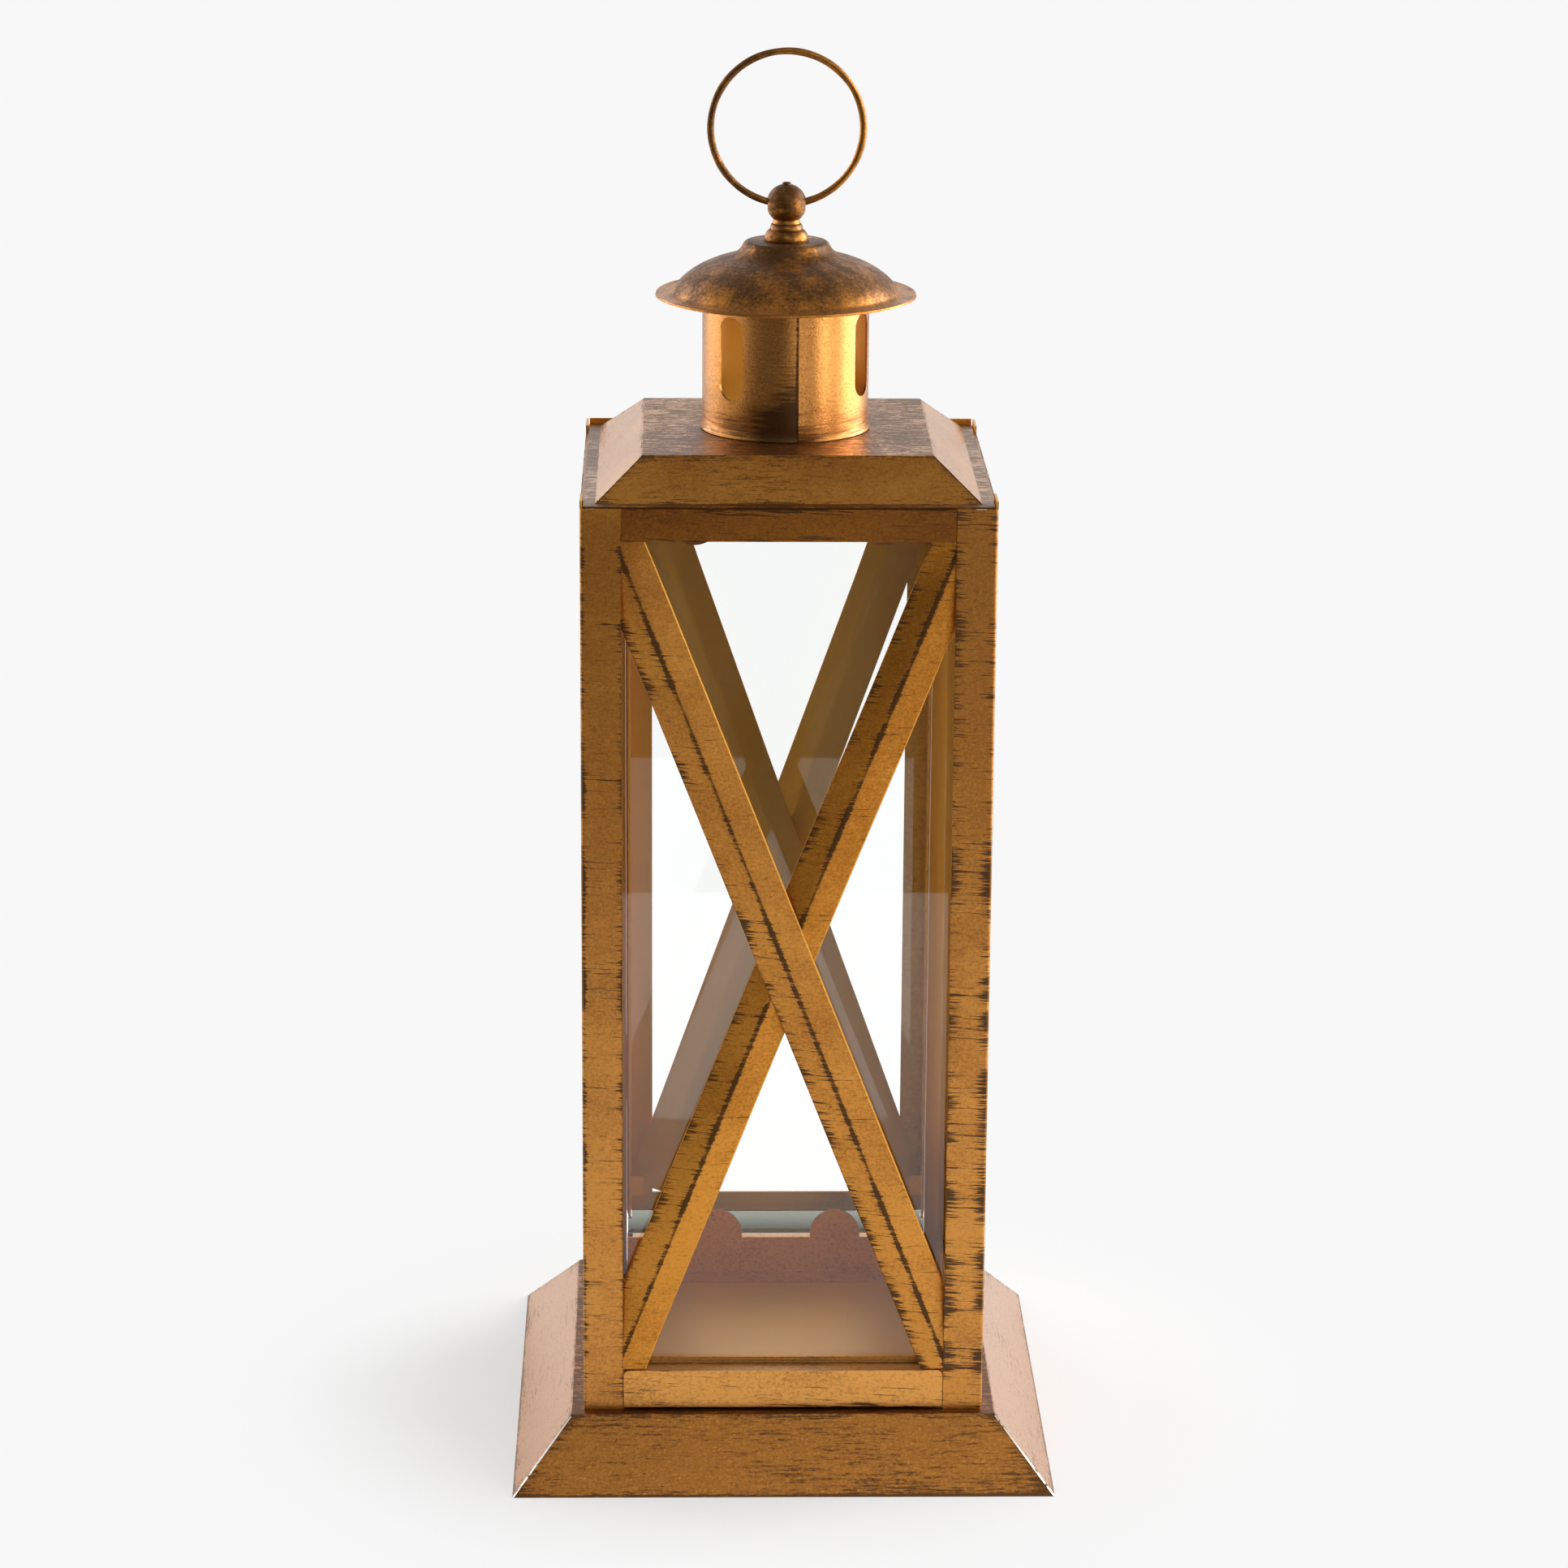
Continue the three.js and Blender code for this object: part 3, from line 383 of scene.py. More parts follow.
def paint(
    start, dark, tone=0.0, roughness=0.40, dents=0.1, gold=GOLD, inside=0.0, fleck=1.0,
    coat=0.7,
):
    """Golden paint with brown where dark is 1. A higher tone is nearer to bronze, and
    where inside is 1 it is the rougher coat that nobody brushed over, and its colour is
    mixed lighter as painted light, for faces that the lamps hardly reach."""
    at = millimetres(start)
    cloud = at.stretched(1, 1, 1.8).noise(0.022, 4.0).step(0.3 - tone * 0.5, 0.8 - tone * 0.5)
    flake = at.noise(0.95, 3.0, 0.8)
    grain = at.stretched(0.45, 0.45, 1.1).noise(1.0, 5.0, 0.75)
    shade = cloud * 0.8 + (flake - 0.5) * 2.4 * fleck + (grain - 0.5) * 1.6 * fleck - inside
    base = colour_between(start, gold, BRONZE, shade.high(0.0).low(1.0))
    # Painted light: where inside is 1 the colour turns to the lighter gold.
    base = base.blend(colour(UNBRUSHED_AND_PAINTED_LIGHT_GOLD), inside)
    speckle = grain.step(0.58, 0.70) * 0.5 * fleck
    brown = dark.high(speckle) * (1.0 - inside)
    base = base.blend(colour(BROWN), brown)
    height = flake * 0.09 - dark * 0.03 + at.noise(0.03, 1.0) * dents
    bump = start.node("Bump", None, {"Distance": 0.001, "Strength": 1.0, "Height": height})
    finish_with(start.tree, start.node("BsdfPrincipled", None, {
        "Base Color": base,
        "Metallic": 1.0,
        "Roughness": roughness + brown * 0.22 + (flake - 0.5) * 0.2 + inside * 0.2,
        "Coat Weight": coat - brown * coat * 0.6,
        "Coat Roughness": COAT_ROUGHNESS,
        "Normal": bump,
    }))


print("paint mixed")

# %% [markdown]
# Brush strokes
#
# A stroke is long and thin, so it comes from a noise that is stretched along the
# level directions and squeezed along Z. Near an edge a high value is added to it,
# which joins the strokes into a solid line with ragged teeth. A slow noise along the
# height makes the brush press harder in some places than in others.

# %% Draw the strokes
HAIR = (0.10, 0.10, 2.9)
BRUSH = (0.055, 0.055, 1.05)


def strokes(at, edge, reach=3.2, weight=1.0, scatter=0.0):
    """Brown strokes that start at an edge. The distance to it comes in millimetres."""
    x, y, z = at.parts()
    tilted = at.node("CombineXYZ", None, {0: x, 1: y, 2: z + (x + y) * 0.05})
    hair = tilted.stretched(*HAIR).noise(1.0, 3.0, 0.6)
    brush = tilted.stretched(*BRUSH).noise(1.0, 2.0, 0.5)
    pressure = at.stretched(0.015, 0.015, 0.05).noise(1.0, 3.0).step(0.35, 0.65)
    near = edge.step(0.0, reach, 1.0, 0.0) * (0.2 + pressure * 0.85) * weight
    line = edge.step(0.1, 0.6, 1.0, 0.0) * 0.22 * weight
    streak = (hair - 0.5) * 2.1 + (brush - 0.5) * 1.7
    level = streak + near * 0.62 + line + (pressure - 1.0) * 0.16 + pressure * scatter
    return level.step(0.28, 0.52) * 0.92


print("strokes ready")

# %% [markdown]
# Two ways to dress a solid
#
# A plain folded piece keeps its solid and only gets a finish and softened edges. A
# piece whose solid is too coarse is made again, and the new one stands for the old: it
# rides the same body and replaces the same solid.

# %% Dress and replace


def soften(piece, width=0.2):
    """Rounds a solid's cut edges a little, so that they catch the light."""
    weld = piece.modifiers.new("weld", "WELD")
    weld.merge_threshold = 1e-6
    bevel = piece.modifiers.new("soft_edges", "BEVEL")
    bevel.width = width * MM
    bevel.segments = 2
    bevel.limit_method = "ANGLE"
    bevel.angle_limit = math.radians(30)


def dress(names, material, edges=0.2):
    """Gives solids a finish and soft edges."""
    for name in names:
        nodes[name].material_slots[0].material = material
        soften(nodes[name], edges)
    print(f"{material.name}: {', '.join(names)}")


def stand_for(piece, node, body):
    """Puts a piece in the place of a solid."""
    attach(piece, body)
    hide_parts(node)
    print(f"{piece.name}: {len(piece.data.polygons)} faces")


print("ready to dress")

# %% [markdown]
# The corner posts
#
# Each post is an angle, and both of its outer legs are 14.8 mm wide. The place across
# a leg is the smaller of |x| and |y|, on the front leg and on the side leg alike. The
# strokes start at the outer fold and, a little weaker, at the inner edge. They are
# longer on the right posts than on the left ones, and the gold gets darker with height.

# %% Finish the posts
HALF_BODY = 75.0
POST_EDGE = 60.2
POST_FOOT = 24.0


def on_outer_face(x, y):
    """1 on the faces that lie in the body's outer planes."""
    return abs(x).high(abs(y)).step(HALF_BODY - 0.5, HALF_BODY - 0.2)


post_finish, start, at, (x, y, z) = new_paint("post_gold")
across = abs(x).low(abs(y))
outside = on_outer_face(x, y)
scatter = (x - abs(y) * 0.5).step(0.0, 10.0, 0.03, 0.16)
reach = x.step(-1.0, 1.0, 3.0, 6.5)
press = x.step(-1.0, 1.0, 1.5, 1.0)
outer_fold = strokes(at, HALF_BODY - across, reach, press, scatter)
inner_edge = strokes(at, across - POST_EDGE, reach, 0.75, scatter)
foot = strokes(at, z - POST_FOOT, reach=30, weight=0.5)
dark = outer_fold.high(inner_edge).high(foot) * outside
climb = z.step(60.0, 370.0, -0.15, 0.55) + z.step(200.0, 370.0) * x.step(0.0, 10.0) * 0.4
coat = 0.25 + outside * 0.45
# Painted light: the posts' inner faces are mixed lighter through inside.
paint(start, dark, tone=climb, inside=1 - outside, coat=coat)
dress(
    ["front_left_post", "front_right_post", "rear_left_post", "rear_right_post"],
    post_finish,
)

# %% [markdown]
# Sills and headers
#
# A brush that moves level along a level strip hardly catches its edges, so these are
# cleaner than the posts: brown only gathers along the lower edge and in a few
# scratches. The headers are darker, and the dark teeth along their top edge are partly
# a painted shadow of the roof's brim.

# %% Finish the level strips
SILL_BOTTOM = 24.2
HEADER_BOTTOM = 359.1
EAVE = 370.9
SIDES = ("front", "right", "left", "rear")

SILL_GOLD = (0.830, 0.380, 0.070)
HEADER_BRONZE = (0.240, 0.072, 0.008)

sill_finish, start, at, (x, y, z) = new_paint("sill_gold")
outside = on_outer_face(x, y)
dark = strokes(at, z - SILL_BOTTOM, reach=5, weight=0.8) * outside
paint(start, dark, tone=-0.3, gold=SILL_GOLD)
dress([f"{side}_sill" for side in SIDES], sill_finish)

header_finish, start, at, (x, y, z) = new_paint("header_bronze")
outside = on_outer_face(x, y)
# Partly painted shadow: the strokes along the top edge stand for the shade under the eave.
upper = strokes(at, EAVE - z, reach=4, weight=0.8, scatter=0.03)
lower = strokes(at, z - HEADER_BOTTOM, reach=3, weight=0.7)
dark = upper.high(lower) * outside
paint(start, dark, tone=0.3, coat=0.45, gold=HEADER_BRONZE)
dress([f"{side}_header" for side in SIDES], header_finish)

# %% [markdown]
# The door's frame
#
# The door is a frame of four folded strips. Its outer face is brushed along the edges,
# and its back, which is seen through the front glass, is bare of strokes and is painted
# lighter, most on the left stile, as painted light.

# %% Paint the door
DOOR_HALF = 59.2
DOOR_BOTTOM = 48.0
DOOR_TOP = 358.1

door_finish, start, at, (x, y, z) = new_paint("door_gold")
outside = y.step(HALF_BODY - 0.5, HALF_BODY - 0.2)
edge = (DOOR_HALF - abs(x)).low(z - DOOR_BOTTOM).low(DOOR_TOP - z)
dark = strokes(at, edge, reach=3) * outside
# Painted light: the back is mixed lighter, fully at -X and less towards +X.
bare_and_painted_light = (1 - outside) * x.step(0.0, 30.0, 1.0, 0.3)
coat = 0.2 + outside * 0.45
paint(start, dark, tone=0.4, inside=bare_and_painted_light, coat=coat)
print("door painted")

# %% [markdown]
# Lips that close the seams
#
# The solids are kept apart by a third of a millimetre, and the white room would shine
# through as bright lines. In a real door the strips are welded and overlap the posts.
# A copy of each strip is made a little wider where the next one begins, and later the
# pane is treated the same way.

# %% Widen the strips
STILE_LIP = 0.95
RAIL_LIP = 0.28
RAIL_END = 49.45


def widened(name, applies, amount, finish, cuts=(), edges=0.2):
    """A copy of one of the door's solids with some points moved outwards in X. It is
    first cut level at some heights, so that there are points to move."""
    made = bmesh.new()
    made.from_mesh(nodes[name].data)
    for height in cuts:
        geometry = made.verts[:] + made.edges[:] + made.faces[:]
        bmesh.ops.bisect_plane(
            made, geom=geometry, plane_co=(0, 0, height * MM), plane_no=(0, 0, 1)
        )
    for vertex in made.verts:
        if applies(vertex.co / MM):
            vertex.co.x += math.copysign(amount * MM, vertex.co.x)
    mesh = bpy.data.meshes.new(f"{name}_lipped")
    made.to_mesh(mesh)
    made.free()
    mesh.materials.append(finish)
    piece = put(f"{name}_lipped", mesh)
    soften(piece, edges)
    stand_for(piece, name, "door")


def on_stile_rim(at):
    return abs(at.x) > DOOR_HALF - 0.1 and at.y > HALF_BODY - 1.0


def on_rail_end(at):
    return abs(abs(at.x) - RAIL_END) < 0.25


for name in ("door_hinge_stile", "door_latch_stile"):
    widened(name, on_stile_rim, STILE_LIP, door_finish)
for name in ("door_bottom_rail", "door_top_rail"):
    widened(name, on_rail_end, RAIL_LIP, door_finish)

# %% [markdown]
# The crossed arms
#
# An arm is a strip with a fold along its middle. The solid's fold is sharp, but a real
# one is a small curve that draws a thin line of light, so the arms are remade here.
# The strip is made upright, as a grid of points, and its rims are a little round.

# %% Fold a strip
SHEET = 0.8
ARM_HALF = 10.0
ARM_RIDGE = 2.0
ARM_FLAT_END = 14.0
ARM_FADE = 22.0
ARM_CROSSING = 30.0
ARM_BOW = 90.0
FOLD_ROUND = 0.9
RIM_ROUND = 0.35
STRIP_STEPS = 96


def smooth(value, start, end):
    """Runs smoothly from 0 at start to 1 at end."""
    share = min(max((value - start) / (end - start), 0.0), 1.0)
    return share * share * (3 - 2 * share)


def folded_strip(half_length, dip):
    """A closed strip of sheet along Z with a rounded fold that points to -Y."""
    across = [0, 0.6, 1.2, 2, 4, 7, 9.3, 9.65, 9.85, 9.95, 10]
    across = [-u for u in across[:0:-1]] + across
    made = bmesh.new()
    faces = {"front": [], "back": []}
    for i in range(STRIP_STEPS + 1):
        z = -half_length + 2 * half_length * i / STRIP_STEPS
        from_end = half_length - abs(z)
        rise = ARM_RIDGE * smooth(from_end, ARM_FLAT_END, ARM_FLAT_END + ARM_FADE)
        back = dip * (1 - smooth(abs(z), ARM_CROSSING, ARM_CROSSING + ARM_BOW))
        rows = {"front": [], "back": []}
        for u in across:
            slant = (math.hypot(u, FOLD_ROUND) - FOLD_ROUND) / (ARM_HALF - FOLD_ROUND)
            y = back + rise * min(slant, 1.0)
            beyond = max(abs(u) - ARM_HALF + RIM_ROUND, 0.0)
            rim = RIM_ROUND - math.sqrt(RIM_ROUND**2 - beyond**2)
            rows["front"].append(made.verts.new((u, y + rim, z)))
            rows["back"].append(made.verts.new((u, y + SHEET, z)))
        for face in faces:
            faces[face].append(rows[face])
    for face, order in (("front", 1), ("back", -1)):
        grid = faces[face]
        for low, high in zip(grid, grid[1:]):
            for j in range(len(across) - 1):
                corners = [low[j], low[j + 1], high[j + 1], high[j]]
                made.faces.new(corners[::order])
    front, back = faces["front"], faces["back"]
    for i in range(STRIP_STEPS):
        made.faces.new([front[i + 1][0], back[i + 1][0], back[i][0], front[i][0]])
        made.faces.new([front[i][-1], back[i][-1], back[i + 1][-1], front[i + 1][-1]])
    for i, order in ((0, -1), (-1, 1)):
        ring = front[i] + back[i][::-1]
        made.faces.new(ring[::order])
    return made


print(f"a strip has {STRIP_STEPS} steps along its length")

# %% [markdown]
# From strip to arm
#
# On the real lantern each strip is laid across the window, marked along the frame and
# trimmed with shears. The same is done here: the strip is leaned over, cut off with the
# four planes of its window and then turned to its side of the lantern.

# %% Trim an arm
ARM_FRONT = 73.9
ARM_MIDDLE = 199.45


def cut_level(made, point, normal):
    """Cuts the mesh with a plane, drops the side that the normal points to, and
    closes the cut."""
    geometry = made.verts[:] + made.edges[:] + made.faces[:]
    cut = bmesh.ops.bisect_plane(
        made, geom=geometry, plane_co=point, plane_no=normal, clear_outer=True
    )
    edges = [e for e in cut["geom_cut"] if isinstance(e, bmesh.types.BMEdge)]
    bmesh.ops.holes_fill(made, edges=edges, sides=0)


def bridge(made, low, high):
    """Joins two closed rings of points with faces. Points on an axis count once."""
    for i in range(len(low)):
        j = (i + 1) % len(low)
        corners = []
        for vertex in (low[i], low[j], high[j], high[i]):
            if vertex not in corners:
                corners.append(vertex)
        if len(corners) > 2:
            made.faces.new(corners)


def as_piece(name, made, material, angle=40):
    """Turns a bmesh in millimetres into an object with smooth faces."""
    mesh = bpy.data.meshes.new(name)
    bmesh.ops.recalc_face_normals(made, faces=made.faces)
    made.transform(Matrix.Scale(MM, 4))
    made.to_mesh(mesh)
    made.free()
    mesh.polygons.foreach_set("use_smooth", [True] * len(mesh.polygons))
    mesh.set_sharp_from_angle(angle=math.radians(angle))
    mesh.materials.append(material)
    return put(name, mesh)


def arm(side, body, turn, slope, half_length, window, kind, dip, direction, material):
    """Folds, trims and places one arm."""
    made = folded_strip(half_length, dip)
    lean = Matrix.Rotation(math.atan(slope) * direction, 4, "Y")
    made.transform(Matrix.Translation((0, -ARM_FRONT, ARM_MIDDLE)) @ lean)
    half, bottom, top = window
    cut_level(made, (half, 0, 0), (1, 0, 0))
    cut_level(made, (-half, 0, 0), (-1, 0, 0))
    cut_level(made, (0, 0, bottom), (0, 0, -1))
    cut_level(made, (0, 0, top), (0, 0, 1))
    made.transform(Matrix.Rotation(math.radians(90 * turn), 4, "Z"))
    node = f"{side}_arm_{kind}"
    stand_for(as_piece(f"{node}_folded", made, material), node, body)


print("ready to trim")

# %% [markdown]
# The paint on an arm
#
# The brown gathered along the left edge of each arm and to the left of its fold, and
# the fold itself was rubbed by the brush into a thin dark line. The distance across an
# arm comes from its lean: the level distance and the height, turned by that angle. The
# right rim carries a painted highlight, a lighter gold where the light from the right
# catches it, and the back, seen through the glass, is painted lighter as painted light.
# The arm below turns more to bronze towards the top than the one above.

# %% Paint an arm


def arm_finish(name, turn, slope, direction):
    """The finish of one arm. The direction is -1 for the arm above and 1 below it."""
    above = direction < 0
    finish, start, at, (_, _, z) = new_paint(name)
    outward = start.node("TexCoord", output="Normal")
    turned = math.radians(90 * turn)
    facing = outward.dot((math.sin(turned), -math.cos(turned), 0))
    outside = facing.step(0.5, 0.8)
    along_x = at.dot((math.cos(turned), math.sin(turned), 0))
    height = z - ARM_MIDDLE
    lean = math.atan(slope) * direction
    across = along_x * math.cos(lean) - height * math.sin(lean)
    fold = strokes(at, abs(across + 0.4) - 0.4, reach=1.6, weight=1.1)
    tooth = strokes(at, across * -1.0, reach=4.5, weight=0.85) * across.step(0.0, -0.4)
    left = strokes(at, across + ARM_HALF, reach=5.5, weight=1.0 if above else 0.8)
    right_edge = strokes(at, ARM_HALF - across, reach=1.4, weight=0.45)
    worn = at.noise(0.35, 3.0, 0.6).step(0.35, 0.6, 0.45, 0.85)
    line = (1.0 - abs(across + 0.1).step(0.1, 0.75)) * worn
    dark = fold.high(tooth).high(left).high(right_edge).high(line) * outside
    climb = z.step(40.0, 370.0, -0.1, 0.3 if above else 0.7)
    # Painted highlight: a lighter gold along the right rim, where the light from the right
    # falls.
    rim = across.step(9.4, 9.7) * 0.9
    # Painted light: the back faces, seen through the glass, are mixed lighter too.
    inside = facing.step(-0.2, -0.6).high(rim)
    coat = 0.2 + outside * (0.25 if above else 0.0)
    paint(start, dark, tone=climb, inside=inside, coat=coat)
    return finish


print("ready to paint the arms")

# %% [markdown]
# The eight arms
#
# Three sides are alike. The door's arms are shorter and a little steeper, because the
# door's frame takes some of the width. In every pair the arm below bows inwards where
# it passes behind the other.

# %% Place the arms
ARM_DIP = 3.1
FIXED = (0.391, 185.55, (65.3, 40.1, 369.8))
HINGED = (0.354, 150.0, (58.1, 49.1, 357.0))

for side, turn, body, (slope, half_length, window) in (
    ("front", 0, "lantern", FIXED),
    ("right", 1, "lantern", FIXED),
    ("left", 3, "lantern", FIXED),
    ("door", 2, "door", HINGED),
):
    for kind, dip, direction in (("over", 0.0, -1), ("under", ARM_DIP, 1)):
        finish = arm_finish(f"{side}_{kind}_gold", turn, slope, direction)
        arm(side, body, turn, slope, half_length, window, kind, dip, direction, finish)

# %% [markdown]
# Plinth and roof
#
# Both are hoods: a flat top with four sloping skirts. The brown was wiped over them
# rather than brushed, so it lies in soft level clouds, thicker towards the corners,
# along the folds and along the hem. Along the roof's hem the dark is partly painted
# shade on its brim above the header. The skirts at the sides got less of it, which also
# lightens them as painted sheen.

# %% Finish the hoods


def wiped(start, at, cover):
    """Fine level scratches in soft clouds. A higher cover leaves more brown."""
    facing_up = start.node("TexCoord", output="Normal").parts()[2].step(0.85, 0.95)
    upright = at.stretched(0.09, 0.09, 1.7).noise(1.0, 6.0, 0.68)
    level = at.stretched(0.09, 0.8, 1.0).noise(1.0, 6.0, 0.68)
    scratch = upright.weigh(level, facing_up)
    cloud = at.stretched(0.025, 0.025, 0.06).noise(1.0, 4.0, 0.6)
    speck = at.stretched(0.5, 0.5, 1.6).noise(1.0, 4.0, 0.75)
    wear = (scratch - 0.5) * 2.7 + (cloud - 0.5) * 1.3 + (speck - 0.5) * 1.6 + cover
    return (wear + facing_up * 0.2).step(0.22, 0.75)


def hood(name, fold_z, foot_z, foot_half, slope, tone, cover, coat):
    """The finish of a hood from the heights of its fold and foot, and how far out its
    skirts reach: foot_half at the foot, and less by the slope further up."""
    finish, start, at, (x, y, z) = new_paint(name)
    fold = abs(fold_z - z).step(0.0, 2.5, 1.0, 0.0) * 0.30
    height = z - foot_z
    # Partly painted shade: on the roof the dark along the hem stands for its shaded brim.
    hem_brown_and_shade = height.step(0.0, 4.0, 1.0, 0.0) * 0.26 + height.step(0.4, 1.2, 0.5, 0.0)
    corner = foot_half - height * slope - abs(x).low(abs(y))
    hip = corner.step(0.5, 7.0, 1.0, 0.0) * 0.34 + corner.step(0.3, 1.0, 0.4, 0.0)
    # Painted sheen: the side skirts get less brown, which lightens them.
    beside = (abs(x) - abs(y)).step(-0.5, 0.5) * (fold_z - z).step(0.4, 0.8)
    dark = wiped(start, at, fold + hem_brown_and_shade + hip + cover - beside * 0.14) * 0.8
    paint(start, dark, tone, roughness=0.3, dents=0.3, coat=beside * 0.35 + coat)
    return finish


dress(["base_plinth"], hood(
    "plinth_gold", fold_z=24.2, foot_z=0.0, foot_half=101.3, slope=0.905,
    tone=0.9, cover=0.17, coat=0.6,
))
dress(["roof"], hood(
    "roof_bronze", fold_z=386.0, foot_z=EAVE, foot_half=70.5, slope=1.185,
    tone=0.2, cover=0.15, coat=0.4,
))

# %% [markdown]
# The plinth's mitres
#
# The skirts meet in open mitres, and the raw edges of the sheet are the brightest lines
# on the whole lantern. Each mitre gets a narrow strip of bare metal along its length,
# which faces out over the corner and so mirrors the white room beside the lantern.

# %% Fill the mitres
MITRE_ENDS = ((101.3, 0.3), (80.2, 23.4))
MITRE_FACE = 0.6
MITRE_DEPTH = 0.5
MITRE_SINK = 0.1

bare_finish, start = new_shader("bare_edge")
worn = millimetres(start).noise(0.25, 4.0, 0.7).step(0.52, 0.62)
finish_with(start.tree, start.node("BsdfPrincipled", None, {
    "Base Color": colour_between(start, (0.92, 0.88, 0.80), BROWN, worn),
    "Metallic": 1.0,
    "Roughness": 0.3,
}))


def mitre_strips():
    """Four closed strips, one along each corner of the plinth."""
    made = bmesh.new()
    for x_sign in (-1, 1):
        for y_sign in (-1, 1):
            rings = []
            for half, z in MITRE_ENDS:
                outer = half - MITRE_SINK
                inner = outer - MITRE_DEPTH
                corners = [
                    (outer - MITRE_FACE, outer),
                    (outer, outer - MITRE_FACE),
                    (inner, inner - MITRE_FACE),
                    (inner - MITRE_FACE, inner),
                ]
                rings.append([
                    made.verts.new((x * x_sign, y * y_sign, z)) for x, y in corners
                ])
            low, high = rings
            bridge(made, low, high)
            made.faces.new(low[::-1])
            made.faces.new(high)
    return made


mitres = as_piece("mitre_edges", mitre_strips(), bare_finish)
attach(mitres, "lantern")
print(f"{mitres.name}: {len(mitres.data.polygons)} faces")

# %% [markdown]
# Turned and spun pieces
#
# The cap is spun from a disc over a former, and the finial is turned. Here their
# profiles are drawn as smooth curves and swept round the axis in fine steps, because
# the solids have few facets and their outlines show corners.

# %% Sweep a profile
ON_AXIS = 1e-6


def bezier(points, steps):
    """Points on a curve, without its first one."""
    found = []
    for i in range(1, steps + 1):
        t = i / steps
        layer = [Vector(p) for p in points]
        while len(layer) > 1:
            layer = [a.lerp(b, t) for a, b in zip(layer, layer[1:])]
        found.append((layer[0].x, layer[0].y))
    return found


def swept(profile, steps=120):
    """Sweeps a closed profile of radius and height about Z. Points on the axis meet."""
    made = bmesh.new()
    rings = []
    for radius, height in profile:
        if radius < ON_AXIS:
            rings.append([made.verts.new((0, 0, height))] * steps)
            continue
        rings.append([
            made.verts.new((
                radius * math.sin(2 * math.pi * i / steps),
                -radius * math.cos(2 * math.pi * i / steps),
                height,
            ))
            for i in range(steps)
        ])
    closed = profile[0][0] > ON_AXIS
    pairs = list(zip(rings, rings[1:])) + ([(rings[-1], rings[0])] if closed else [])
    for low, high in pairs:
        bridge(made, low, high)
    return made


def sheet_below(face, thickness):
    """A profile's face together with the same face set back by the sheet."""
    back = []
    for i, (r, z) in enumerate(face):
        r0, z0 = face[max(i - 1, 0)]
        r1, z1 = face[min(i + 1, len(face) - 1)]
        length = math.hypot(r1 - r0, z1 - z0)
        back.append((
            r + thickness * (z1 - z0) / length,
            z - thickness * (r1 - r0) / length,
        ))
    return face + back[::-1]


print("ready to sweep")

# %% [markdown]
# The cap
#
# The crown of the cap falls from its flat top over a shoulder, swells, and turns out
# into the brim. Its brown is mottled, and rubbed away along the brim.

# %% Spin the cap
CAP_BRIM = 435.2
CAP_TOP = 455.5
CAP_BRIM_RADIUS = 47.9
CAP_TOP_RADIUS = 15.2
CAP_CROWN_RADIUS = 41.5
BORE = 2.3

shoulder = CAP_TOP - 5.2
crown_foot = CAP_BRIM + 2.2
cap_face = [(BORE, CAP_TOP), (CAP_TOP_RADIUS - 1.4, CAP_TOP)]
for steps, guides in (
    (6, [(CAP_TOP_RADIUS, CAP_TOP), (CAP_TOP_RADIUS + 0.7, CAP_TOP - 1.3)]),
    (14, [
        (CAP_TOP_RADIUS + 1.9, CAP_TOP - 4),
        (CAP_TOP_RADIUS + 3.6, shoulder),
        (CAP_TOP_RADIUS + 8.2, shoulder - 1.2),
    ]),
    (22, [
        (CAP_TOP_RADIUS + 16, shoulder - 3.4),
        (CAP_CROWN_RADIUS - 3.2, crown_foot + 5.4),
        (CAP_CROWN_RADIUS, crown_foot),
    ]),
    (14, [
        (CAP_CROWN_RADIUS + 1, CAP_BRIM + 0.7),
        (CAP_BRIM_RADIUS - 3, CAP_BRIM - 0.2),
        (CAP_BRIM_RADIUS, CAP_BRIM + 0.9),
    ]),
):
    cap_face += bezier([cap_face[-1], *guides], steps)

cap_finish, start, at, (x, y, z) = new_paint("cap_patina")
radius = from_axis(x, y)
mottle = at.noise(0.09, 5.0, 0.62)
stipple = at.noise(0.8, 3.0, 0.7)
less_brown = radius.step(39.0, 45.0) * 0.4 - radius.step(17.0, 26.0, 1.0, 0.0) * 0.1
dark = ((mottle - 0.5) * 1.6 + (stipple - 0.5) * 1.2 - less_brown + 0.55).step(0.0, 0.8) * 0.9
paint(start, dark, tone=0.45, dents=0.3, coat=0.4)
stand_for(
    as_piece("spun_cap", swept(sheet_below(cap_face, SHEET), 160), cap_finish, 50),
    "cap", "lantern",
)

# %% [markdown]
# The foot of the finial
#
# A bell-shaped foot stands on the cap. It is turned from brass, with a bead below, a
# narrow waist and a rounded shoulder. Brown stays in the grooves, where no cloth gets.

# %% Turn the foot
FOOT_RADIUS = 8.15
FOOT_TOP = 461.7
WAIST = CAP_TOP + 4.15

